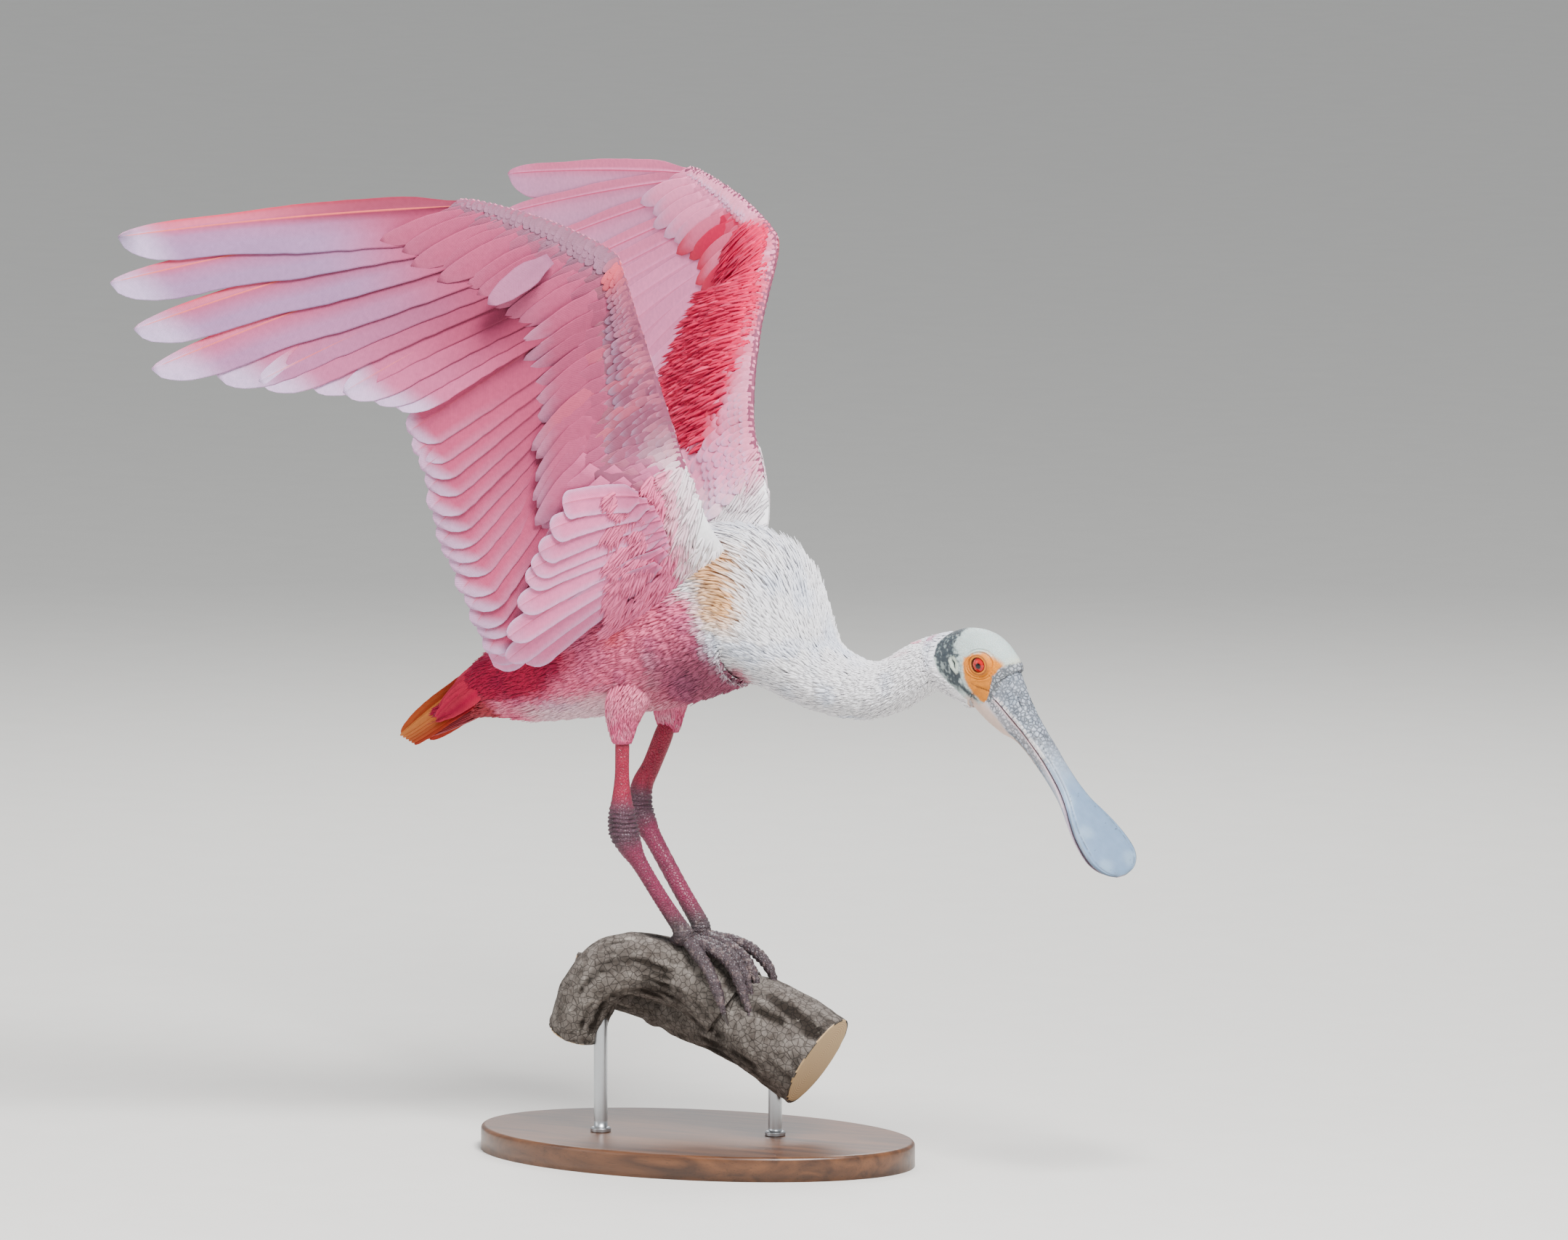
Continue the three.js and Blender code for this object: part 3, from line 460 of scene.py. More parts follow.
def body_point(u, turn, depth=0.0):
    """Point of the body's surface at u along it and a turn round it, under the coat by depth."""
    row, _, side, up = body_axes(u)
    height = np.where(np.sin(turn) > 0, row[..., 4], row[..., 5])
    half = row[..., 3]
    depth = np.minimum(depth, half * 0.5)
    return (row[..., :3] + side * (np.cos(turn) * (half - depth))[..., None]
            + up * (np.sin(turn) * (height - depth))[..., None])


def eye_distance(x, z):
    """Distance from the eye on the side of the head, the same along the rim of its oval opening."""
    along = (x - EYE[0]) * 0.57 + (z - EYE[2]) * 0.82
    across = (z - EYE[2]) * 0.57 - (x - EYE[0]) * 0.82
    return np.hypot(along / 1.14, across / 0.98)


def horn_edge(z):
    """X in the head frame where the bill's rough horn begins, at height z."""
    return lookup([[-16, 3], [-11, 0], [-2, -4], [7, -9], [16, -10.2], [24, -7], [28, -4]], z)


def wing_axes(u):
    """Front edge, directions back and above, chord, thickness and rear depth of the wing at u."""
    row = between(WING, u)
    ahead = between(WING, np.minimum(u + 0.2, FINGERTIP))
    behind = between(WING, np.maximum(u - 0.2, 0))
    chord = row[..., 3:6] - row[..., :3]
    back = unit(chord)
    step = ahead - behind
    span = step[..., 3:6] + step[..., :3]
    above = unit(np.cross(span, back))
    above = np.where(above[..., 1:2] > 0, -above, above)
    return row[..., :3], back, above, np.linalg.norm(chord, axis=-1), row[..., 6], row[..., 7]


# Height of the wing's flesh over its middle, in shares of its thickness, from the front edge back.
WING_PROFILE = [
    [0, 0], [0.04, 0.15], [0.16, 0.27], [0.45, 0.42], [0.8, 0.5], [1, 0.46], [1.3, 0.34]]


def wing_point(u, share, face, sunk):
    """Point on the wing's flesh: share 0 at the front edge, 1 at the bone line; face 1 above."""
    front, back, above, chord, thick, _ = wing_axes(u)
    rise = face * (lookup(WING_PROFILE, share) * thick - sunk)
    return front + back * (share * chord)[..., None] + above * rise[..., None]


def place_wing(points, side):
    """Wing points on the right (-1) or the left (1) of the bird."""
    if side < 0:
        return points * [1, -1, 1]
    height = np.clip((points[..., 2] - 250) / 60, 0, len(LEFT_SHIFT) - 1)
    shift = between(LEFT_SHIFT, height)
    return points + np.stack([shift[..., 0], 0 * height, shift[..., 1]], -1)


def wing_patch(share, u, side):
    """Place on the bake map of a share of the way back and a place u of a wing; each side has its half."""
    return np.stack([0.02 + 0.2 * share + (0.25 if side > 0 else 0),
                     0.62 + 0.36 * u / FINGERTIP], -1)


def thigh_patch(points, side):
    """Places on the bake map of points on a thigh."""
    return np.stack([0.52 + 0.1 * (points[:, 0] + 62) / 60 + (0.11 if side > 0 else 0),
                     0.62 + 0.3 * (points[:, 2] - 130) / 100], -1)


def on_frame(points):
    """Millimetres of the bird in metres of the frame."""
    return (np.asarray(points) + [0, 0, FEET_HEIGHT]) / 1000


# Making of pieces.

def finish_piece(obj, replaced=()):
    """A piece rides on the still body and stands for solids."""
    bpy.context.scene.collection.objects.link(obj)
    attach(obj, "root")
    if replaced:
        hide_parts(*replaced)


def tube(shape, around, along):
    """Closed tube of quads: shape(share along, turn) gives its points. Returns a bmesh."""
    bm = bmesh.new()
    bmesh.ops.create_grid(bm, x_segments=around, y_segments=along, size=0.5)
    grid = np.array([v.co for v in bm.verts]) + 0.5
    points = on_frame(shape(grid[:, 1], grid[:, 0] * 2 * math.pi))
    for vert, point in zip(bm.verts, points):
        vert.co = point
    bmesh.ops.remove_doubles(bm, verts=bm.verts, dist=1e-6)
    bmesh.ops.holes_fill(bm, edges=[edge for edge in bm.edges if edge.is_boundary], sides=0)
    bmesh.ops.recalc_face_normals(bm, faces=bm.faces)
    return bm


def limb_shape(rows):
    """Shape of a round limb through rows of x, y, z, half width, half depth."""
    table = np.asarray(rows, float)
    last = len(table) - 1

    def shape(share, turn):
        u = share * last
        row = between(table, u)
        ahead = between(table, np.minimum(u + 0.1, last))
        behind = between(table, np.maximum(u - 0.1, 0))
        along = unit(ahead[:, :3] - behind[:, :3])
        side = np.broadcast_to([0.0, 1.0, 0.0], along.shape)
        side = unit(side - along * dot(side, along))
        up = np.cross(along, side)
        across = side * (np.cos(turn) * row[:, 3])[:, None]
        return row[:, :3] + across + up * (np.sin(turn) * row[:, 4])[:, None]

    return shape


def object_of(bm, name):
    """Object whose mesh is the bmesh, which is freed."""
    mesh = bpy.data.meshes.new(name)
    bm.to_mesh(mesh)
    bm.free()
    return bpy.data.objects.new(name, mesh)


def fuse(base, others):
    """Boolean union of closed objects, which are removed."""
    scene = bpy.context.scene.collection.objects
    scene.link(base)
    for other in others:
        scene.link(other)
        union = base.modifiers.new("fuse", "BOOLEAN")
        union.operation = "UNION"
        union.solver = "MANIFOLD"
        union.object = other
        bpy.context.view_layer.update()
        graph = bpy.context.evaluated_depsgraph_get()
        made = bpy.data.meshes.new_from_object(base.evaluated_get(graph))
        base.modifiers.clear()
        old = base.data
        base.data = made
        bpy.data.meshes.remove(old)
        bpy.data.meshes.remove(other.data)
    scene.unlink(base)
    base.data.materials.clear()
    return base


def read(items, key, width=1, kind=np.int32):
    """Values of a key of every item of a mesh, in rows where each item has several."""
    values = np.empty(len(items) * width, kind)
    items.foreach_get(key, values)
    return values.reshape(-1, width) if width > 1 else values


def vertex_points(mesh):
    """Vertices of a mesh in millimetres of the bird."""
    return read(mesh.vertices, "co", 3, np.float32).astype(float) * 1000 - [0, 0, FEET_HEIGHT]


def set_points(mesh, points):
    """Moves the vertices to points in millimetres."""
    mesh.vertices.foreach_set("co", on_frame(points).astype(np.float32).ravel())
    mesh.update()


def set_tint(mesh, colours):
    """Gives each vertex its colour."""
    layer = mesh.color_attributes.new(TINT, "FLOAT_COLOR", "POINT")
    values = np.ones((len(mesh.vertices), 4), np.float32)
    values[:, :3] = np.clip(colours, 0, 1)
    layer.data.foreach_set("color", values.ravel())


def set_number(mesh, name, values):
    """Gives each vertex a number under a name."""
    layer = mesh.attributes.new(name, "FLOAT", "POINT")
    layer.data.foreach_set("value", np.asarray(values, np.float32))


def set_map(mesh, name, corners):
    """UV map from one pair per face corner."""
    layer = mesh.uv_layers.new(name=name)
    layer.data.foreach_set("uv", np.asarray(corners, np.float32).ravel())


def corner_vertices(mesh):
    """Number of the vertex at each face corner."""
    return read(mesh.loops, "vertex_index")


def set_wrapped_map(mesh, turn, along):
    """Bake map of a round skin, with the faces on its seam kept whole."""
    index = corner_vertices(mesh)
    starts, totals = read(mesh.polygons, "loop_start"), read(mesh.polygons, "loop_total")
    x = turn[index].copy()
    face = np.repeat(np.arange(len(starts)), totals)
    high = np.maximum.reduceat(x, starts)
    low = np.minimum.reduceat(x, starts)
    wrapped = (high - low > 0.5)[face] & (x < 0.5)
    x[wrapped] = 1
    set_map(mesh, BAKE_MAP, np.stack([x, along[index]], -1))


# Materials.

def feed(node, values):
    """Sets a node: a socket takes a value, a node or its output; any other key is a setting."""
    for key, value in values.items():
        if not isinstance(key, int) and key not in node.inputs:
            setattr(node, key, value)
            continue
        socket = node.inputs[key]
        if isinstance(value, bpy.types.Node):
            value = next(output for output in value.outputs if output.enabled)
        if isinstance(value, bpy.types.NodeSocket):
            node.id_data.links.new(value, socket)
        else:
            socket.default_value = (*value, 1) if socket.type == "RGBA" else value
    return node


def add(tree, kind, values=None):
    """Adds a node with its settings and links."""
    return feed(tree.nodes.new("ShaderNode" + kind), values or {})


# Settings of a Mix node for colours, with its factor at socket 0 and the colours at 6 and 7.
OVER = {"data_type": "RGBA"}
TIMES = {"data_type": "RGBA", "blend_type": "MULTIPLY", 0: 1.0}


def material(name, values):
    """New material. Returns it, its tree, its Object coordinates and its Principled surface."""
    made = bpy.data.materials.new(name)
    made.use_nodes = True
    tree = made.node_tree
    surface = feed(tree.nodes["Principled BSDF"], values)
    return made, tree, add(tree, "TexCoord").outputs["Object"], surface


def feather_material(name, glow, barbs, roughness=0.6, speckle=0.16):
    """Keratin vanes: matt and soft, with fine oblique barbs, a little light comes through."""
    made, tree, place, surface = material(name, {
        "Roughness": roughness, "Specular IOR Level": 0.14, "Sheen Weight": 0.03,
        "Sheen Roughness": 0.5})
    tint = add(tree, "Attribute", {"attribute_name": TINT})
    # Mottling of about 3 mm, the size of a barb's clump.
    mottle = add(tree, "TexNoise", {"Scale": 330, "Detail": 3, "Vector": place})
    shade = add(tree, "MapRange", {"To Min": 1 - speckle, "To Max": 1 + speckle, "Value": mottle})
    base = add(tree, "Mix", {**TIMES, 6: tint, 7: shade})
    if barbs:
        # Barbs stand 0.35 mm apart; drawn 1.1 mm apart so that they show.
        wave = add(tree, "TexWave", {
            "wave_type": "BANDS", "bands_direction": "Y", "Scale": 0.28, "Distortion": 1.6,
            "Detail": 2, "Detail Scale": 0.6, "Vector": add(tree, "UVMap", {"uv_map": VANE_MAP}),
        }).outputs["Fac"]
        lines = add(tree, "MapRange", {"To Min": 0.93, "To Max": 1.05, "Value": wave})
        base = add(tree, "Mix", {**TIMES, 6: base, 7: lines})
        bump = add(tree, "Bump", {"Strength": 0.35, "Distance": 0.0003, "Height": wave})
        feed(surface, {"Normal": bump})
    feed(surface, {"Base Color": base})
    through = add(tree, "BsdfTranslucent", {"Color": base})
    both = add(tree, "MixShader", {"Fac": glow, 1: surface, 2: through})
    feed(tree.nodes["Material Output"], {"Surface": both})
    return made


def net_over(tree, base, place):
    """Dark net between pale pebbles about 3 mm wide, where the piece's Net is 1."""
    stretch = add(tree, "Mapping", {
        "Rotation": (0, -0.88, 0), "Scale": (1.0, 0.8, 1.0), "Vector": place})
    cells = add(tree, "TexVoronoi", {
        "feature": "DISTANCE_TO_EDGE", "Scale": 1000 / 3.0, "Vector": stretch})
    line = add(tree, "MapRange", {
        "From Min": 0.05, "From Max": 0.24, "To Min": 1, "To Max": 0, "Value": cells})
    where = add(tree, "Attribute", {"attribute_name": "Net"}).outputs["Fac"]
    mask = add(tree, "Math", {"operation": "MULTIPLY", 0: line, 1: where})
    return add(tree, "Mix", {**OVER, 0: mask, 6: base, 7: settings().skin.bill_net}), mask


def skin_material(name, grain, depth, roughness):
    """Bare skin: pebbled in cells of the grain in millimetres, a little moist."""
    made, tree, place, surface = material(name, {
        "Roughness": roughness, "Specular IOR Level": 0.4, "Subsurface Weight": 0.08,
        "Subsurface Scale": 0.002})
    tint = add(tree, "Attribute", {"attribute_name": TINT})
    cells = add(tree, "TexVoronoi", {
        "feature": "DISTANCE_TO_EDGE", "Scale": 1000 / grain, "Vector": place})
    rim = add(tree, "MapRange", {"From Max": 0.16, "Value": cells})
    # Pores of about 1 mm.
    fine = add(tree, "TexNoise", {"Scale": 900, "Detail": 4, "Vector": place})
    height = add(tree, "Math", {"operation": "MULTIPLY_ADD", 0: fine, 1: 0.35, 2: rim})
    shade = add(tree, "MapRange", {"To Min": 0.84, "To Max": 1.03, "Value": rim})
    base = add(tree, "Mix", {**TIMES, 6: tint, 7: shade})
    base, net = net_over(tree, base, place)
    sunk = add(tree, "Math", {"operation": "MULTIPLY_ADD", 0: net, 1: -1.2, 2: height})
    bump = add(tree, "Bump", {"Strength": 0.7, "Distance": depth / 1000, "Height": sunk})
    feed(surface, {"Base Color": base, "Normal": bump})
    return made


# Markings, shared by the skin and the feathers that grow from it.

def body_colour(u, turn, place):
    """Colour of the plumage at u along the body and a turn round it."""
    look = settings().plumage
    rise, across = np.sin(turn), np.abs(np.cos(turn))
    drift = noise(place, 26, 3) * 0.5 + noise(place, 9, 4) * 0.3
    c = plain(look.body, u.shape)
    c = blend(c, np.array(look.body) * 0.7 + 0.3, ramp(drift, 0.1, 0.6) * 0.6)
    c = blend(c, look.belly, ramp(-rise, -0.1, 0.7) * ramp(u, 5.5, 6.9))
    pale = np.array(look.body) * 0.35 + np.array(look.white) * 0.65
    c = blend(c, pale, ramp(-rise, 0.45, 0.85) * ramp(u, 3.0, 3.7) * (1 - ramp(u, 5.2, 6.4)) * 0.8)
    flank = spot(np.hypot((u - 5.95) * 1.6, (rise - 0.15) * 2.2) + drift * 0.2, 0.3, 0.5)
    c = blend(c, "#e2546a", flank * (across > 0.3) * 0.8)
    # Carmine of the rump and the upper tail coverts, and a patch at each side of it, darkened to about
    # half as painted shade.
    rump = spot(u + drift * 0.5, 3.0, 1.0) * ramp(rise, -0.35, 0.2)
    patch = spot(np.hypot((u - 3.1) / 1.95, (rise - 0.02) / 0.55) + drift * 0.3, 0.85, 0.5)
    c = blend(c, np.array(look.carmine) * 0.55, np.maximum(rump, patch) * 0.97)
    # Painted shade: red-brown on the underside of the tail's root, where the body faces down.
    under = spot(u + drift * 0.4, 2.4, 0.8) * ramp(-rise, 0.1, 0.5)
    c = blend(c, look.tail_shade, under * 0.85)
    # White of the upper back, the breast and the neck.
    edge = 7.75 - 1.5 * ramp(rise, 0.1, 0.9) + 0.25 * ramp(-rise, 0.2, 0.9)
    c = blend(c, look.white, ramp(u + drift * 0.25, edge - 0.35, edge + 0.35))
    # Painted shade: lilac-grey on the underside of the white breast.
    c = blend(c, "#c9bccb", spot(np.hypot((u - 8.1) * 1.1, (rise + 0.75) * 1.2), 0.4, 0.5) * 0.35)
    # Buff patch down each side of the breast.
    lean = 7.72 + 0.55 * (0.75 - rise)
    buff = spot(np.abs(u - lean - 0.2) + drift * 0.2, 0.38, 0.5) * ramp(rise, -0.35, 0.1)
    buff = buff * (1 - ramp(rise, 0.72, 0.95)) * ramp(across, 0.2, 0.5)
    c = blend(c, look.buff, buff * 0.8)
    second = spot(np.hypot((u - 8.35) * 2.2, (rise - 0.25) * 1.4) + drift * 0.2, 0.3, 0.5)
    c = blend(c, look.buff, second * 0.3)
    # Rosy feathers under the bend of the neck, and a pink streak down the nape.
    rosy = spot(np.hypot((u - 9.35) * 1.5, (rise + 1) * 1.8) + drift * 0.3, 0.5, 0.5)
    c = blend(c, "#b03458", rosy * 0.8)
    nape = ramp(u, 13.6, 14.2) * (1 - ramp(u, 15.4, 15.9)) * ramp(rise, 0.75, 0.97)
    c = blend(c, "#dd8b9f", nape * ramp(noise(place, 6, 9), -0.3, 0.4) * 0.8)
    shade = 0.8 * ramp(noise(place, 14, 6), 0.0, 0.7)[..., None]
    return c * (1 - shade * [0.2, 0.14, 0.05])


def head_colour(local):
    """Colour of the bare skin, from places in the head frame."""
    look = settings().skin
    x, z = local[..., 0], local[..., 2]
    side = np.abs(local[..., 1])
    ragged = noise(local, 2.2, 11) * 1.3 + noise(local, 0.9, 12) * 0.7
    c = plain(look.crown, x.shape)
    c = blend(c, "#a9b8b4", ramp(noise(local, 7, 13), 0.1, 0.8) * 0.45)
    c = blend(c, "#d8d2b4", ramp(x, -16, -5) * ramp(z, 8, 16) * 0.55)
    c = blend(c, look.gular, ramp(-z, 19, 24) * ramp(x, -16, -8))
    band = 1 - ramp(outline_distance(x, z, DARK_BAND) + ragged * 1.5, -0.9, 1.6)
    stipple = ramp(noise(local, 1.3, 14), -0.1, 0.35)
    stipple = stipple * (1 - ramp(outline_distance(x, z, DARK_BAND), 0, 6))
    c = blend(c, look.band, stipple * 0.6 * (1 - ramp(-z, 20.5, 23)))
    band = band * (1 - 0.45 * ramp(noise(local, 1.6, 15), 0.15, 0.5))
    band = band * (1 - ramp(-z, 20.5, 23) * ramp(x, -24, -14))
    c = blend(c, look.band, band * 0.95)
    orange = outline_distance(x, z, ORANGE_SKIN) + ragged * 0.35
    face = 1 - ramp(orange, -1, 1.6 + 2 * ramp(z, 6, 14))
    c = blend(c, look.orange, face * ramp(side, 3, 7))
    eye = eye_distance(x, z)
    c = blend(c, "#c9d0c4", spot(eye, 10.5, 3) * (1 - face) * 0.5)
    c = blend(c, "#5a2f22", spot(eye, 5.7, 0.8) * (side > 8))
    ear = 1 - ramp(outline_distance(x, z, EAR_PATCH) + ragged * 0.4, -0.8, 0.8)
    c = blend(c, "#c4d0c2", ear * (side > 8))
    slit = np.hypot((x - EAR_AT[0]) * 0.25 + (z - EAR_AT[1]) * 0.1,
                    (z - EAR_AT[1]) + 0.25 * (x - EAR_AT[0]))
    c = blend(c, "#2b3238", spot(slit, 0.9, 0.7) * (side > 8))
    # Painted shade in the creases: dark lines along the fold at the mouth's corner and the fold below it.
    corner = np.abs(z + 4 - 0.62 * (x + 3))
    fold = spot(corner, 0.5, 0.7) * ramp(x, -14, -11) * (1 - ramp(x, -3, 0)) * (side > 8)
    c = blend(c, "#5f3414", fold * 0.9)
    crease_shade = (spot(np.abs(z + 7.5 - 0.5 * (x + 9)), 0.3, 0.6)
              * ramp(x, -18, -14) * (1 - ramp(x, -9, -6)) * (side > 8))
    c = blend(c, "#7a4518", crease_shade * 0.7)
    shade = (ramp(eye, 6.4, 7.2) * (1 - ramp(eye, 7.4, 8.2))
             + 0.6 * spot(np.abs(eye - 9.6), 0.1, 0.7))
    c = blend(c, "#8a4410", shade * face * (side > 8) * 0.85)
    c = blend(c, "#a6aab1", horn_on_skin(local))
    return blend(c, "#5a4238", spot(np.abs(x - horn_edge(z) + 0.6), 0.3, 0.9) * (z > -4) * 0.5)


def horn_on_skin(local):
    """1 where the bill's rough horn runs on over the skin of the forehead and the cheek."""
    x, z = local[..., 0], local[..., 2]
    return ramp(x - horn_edge(z) + noise(local, 1.2, 12) * 0.5, -0.3, 0.3) * (z > -14)


def leg_colour(height, u, place):
    """Colour of a leg by its height and place u in the leg's table."""
    look = settings().skin
    c = plain(look.tarsus, u.shape)
    c = blend(c, look.tibia, 1 - ramp(u, 2.6, 4))
    joint = spot(np.abs(u - 4.6), 1.3, 1.2)
    c = blend(c, look.joint, joint * 0.85)
    c = blend(c, look.foot, 1 - ramp(height, 4, 26))
    mottle = noise(place, 4, 21)
    c = blend(c, np.asarray(c) * 0.5, ramp(mottle, 0.0, 0.8) * 0.55)
    c = blend(c, "#8a7672", ramp(noise(place, 2.4, 22), 0.2, 0.8) * (1 - ramp(height, 2, 14)) * 0.5)
    return c


# Skin.

def sculpt_head(points, normals):
    """Lids, folds, ear, mouth corner and throat folds of the head."""
    local = in_head(points)
    near = local[:, 0] > -70
    x, z = local[:, 0], local[:, 2]
    sign = np.sign(local[:, 1])
    side = np.abs(local[:, 1])
    push = np.zeros(len(points))
    on_side = near & (side > 8)
    eye = eye_distance(x, z)
    ring_wave = (np.cos((eye - 7.9) * 2 * math.pi / 2.1) * 0.45
                 * ramp(eye, 7.2, 8.2) * (1 - ramp(eye, 10.5, 14)))
    push += np.where(on_side, ring_wave, 0)
    ear = np.hypot((x - EAR_AT[0]) / 1.5, z - EAR_AT[1] + 0.25 * (x - EAR_AT[0]))
    push += np.where(on_side,
                     0.7 * spot(np.abs(ear - 3.6), 0.4, 1.6) - 1.6 * spot(ear, 0.9, 1.6), 0)
    mouth = np.abs(z + 4 - 0.62 * (x + 3))
    push -= np.where(on_side,
                     0.8 * spot(mouth, 0.3, 1.5) * ramp(x, -15, -11) * (1 - ramp(x, -2, 2)), 0)
    fold = np.abs(z + 9 - 0.5 * (x + 9) - 1.5)
    push -= np.where(on_side,
                     0.4 * spot(fold, 0.25, 1.4) * ramp(x, -18, -14) * (1 - ramp(x, -9, -6)), 0)
    throat = ramp(-z, 16, 22) * ramp(x, -26, -18)
    push += np.where(near, 0.35 * throat * np.cos(side * 2 * math.pi / 4.2), 0)
    wrinkle = ridged(local * [1, 1, 1.6], 3.4, 31) * 0.5 - 0.25
    face = (1 - ramp(outline_distance(x, z, ORANGE_SKIN), -1, 4)) * ramp(eye, 8, 11)
    push += np.where(on_side, wrinkle * face * 1.1, 0)
    push += np.where(near & (x > -50), noise(local, 2.6, 32) * 0.08, 0)
    horn = ramp(x - horn_edge(z), -0.5, 0.6) * (z > -14)
    push += horn * (0.25 + 0.25 * (ridged(local * [0.8, 1, 1], 2.9, 51) - 0.4))
    made = points + normals * push[:, None]
    # Round the eye the skin goes to set places: a lid ring proud of the cheek, open over the ball.
    local = in_head(made)
    side = np.abs(local[:, 1])
    ball = EYE[1] + np.sqrt(np.maximum(EYE_RADIUS ** 2 - np.minimum(eye, EYE_RADIUS) ** 2, 0))
    ring = EYE[1] + 5.1 - 0.12 * (eye - 6.3) ** 2
    target = np.where(eye < LID_OUTER, ring, side)
    inner = ball - 1.8
    opening = ramp(eye, EYE_OPENING - 0.5, EYE_OPENING + 0.25)
    target = np.where(eye < EYE_OPENING + 0.25, inner * (1 - opening) + ring * opening, target)
    weight = np.where(on_side, 1 - ramp(eye, LID_OUTER - 0.5, LID_OUTER + 1.3), 0)
    local[:, 1] = np.where(on_side, sign * (side * (1 - weight) + target * weight), local[:, 1])
    return on_head(local)


def sculpt_leg(points, normals, u, height):
    """Wrinkles across the joints and scutes down the tarsus and the toes."""
    joint = spot(np.abs(u - 4.6), 1.1, 1.2)
    wave = np.sin(height * 2 * math.pi / 3.1 + noise(points, 7, 41) * 2.4)
    push = joint * (0.75 * wave + 1.1 * (ridged(points, 3.4, 42) - 0.3))
    scutes = ramp(u, 6, 6.6) * 0.2 * np.sin(height * 2 * math.pi / 2.6)
    toes = (1 - ramp(height, 2, 8)) * (0.35 * np.sin(points[:, 0] * 2 * math.pi / 3.1)
                                       + 0.9 * (ridged(points, 3.4, 43) - 0.3))
    return points + normals * (push + scutes + toes)[:, None]


def body_skin_shape(share, turn):
    """Skin of torso, neck and head, sunk by the depth of the coat."""
    u = lookup([[0, 0], [0.42, 12], [0.56, 15.4], [1, FOREHEAD]], share)
    return body_point(u, turn, lookup(COAT_DEPTH, u))


def wing_skin_shape(side):
    """Skin of a wing's flesh, thinning out behind the bones."""
    def shape(share, turn):
        front, back, above, chord, thick, rear = wing_axes(share * FINGERTIP)
        around = 0.5 - 0.5 * np.cos(turn)
        face = np.where(np.sin(turn) >= 0, 1.0, -1.0)
        rim = np.minimum(1, np.sqrt(np.maximum(1 - around, 0) * 9))
        reach = around * ((chord + rear) / chord)
        rise = face * (lookup(WING_PROFILE, reach) * 0.8) * thick * rim
        point = front + back * (1 + reach * (chord - 2))[:, None] + above * rise[:, None]
        return place_wing(point, side)
    return shape


def mirrored(rows, side):
    """Rows with the sign of their y set for a side."""
    return [[row[0], row[1] * side, *row[2:]] for row in rows]


def thigh_rows(side, depth):
    """Rows of the thigh under the tips of its feathers by a depth; its top sinks into the flank."""
    sink = [14, 9, 3, 0, 0]
    return [[x, y - side * sink[k] * 0.7, z,
             a - sink[k] - depth * (k < 4), b - sink[k] * 0.3 - depth * (k < 4)]
            for k, (x, y, z, a, b) in enumerate(mirrored(THIGH, side))]


def toe_rows(path):
    """Rows of a toe along its path, swollen at the knuckles."""
    last = len(path) - 1
    rows = []
    for k, (x, y, z) in enumerate(path):
        radius = TOE_ROOT + (TOE_TIP - TOE_ROOT) * k / last
        knuckle = 1.22 if 0 < k < last else 1
        rows.append([x, y, z, radius * knuckle, radius * knuckle])
    rows[-1][3:] = [1.1, 1.1]
    return rows


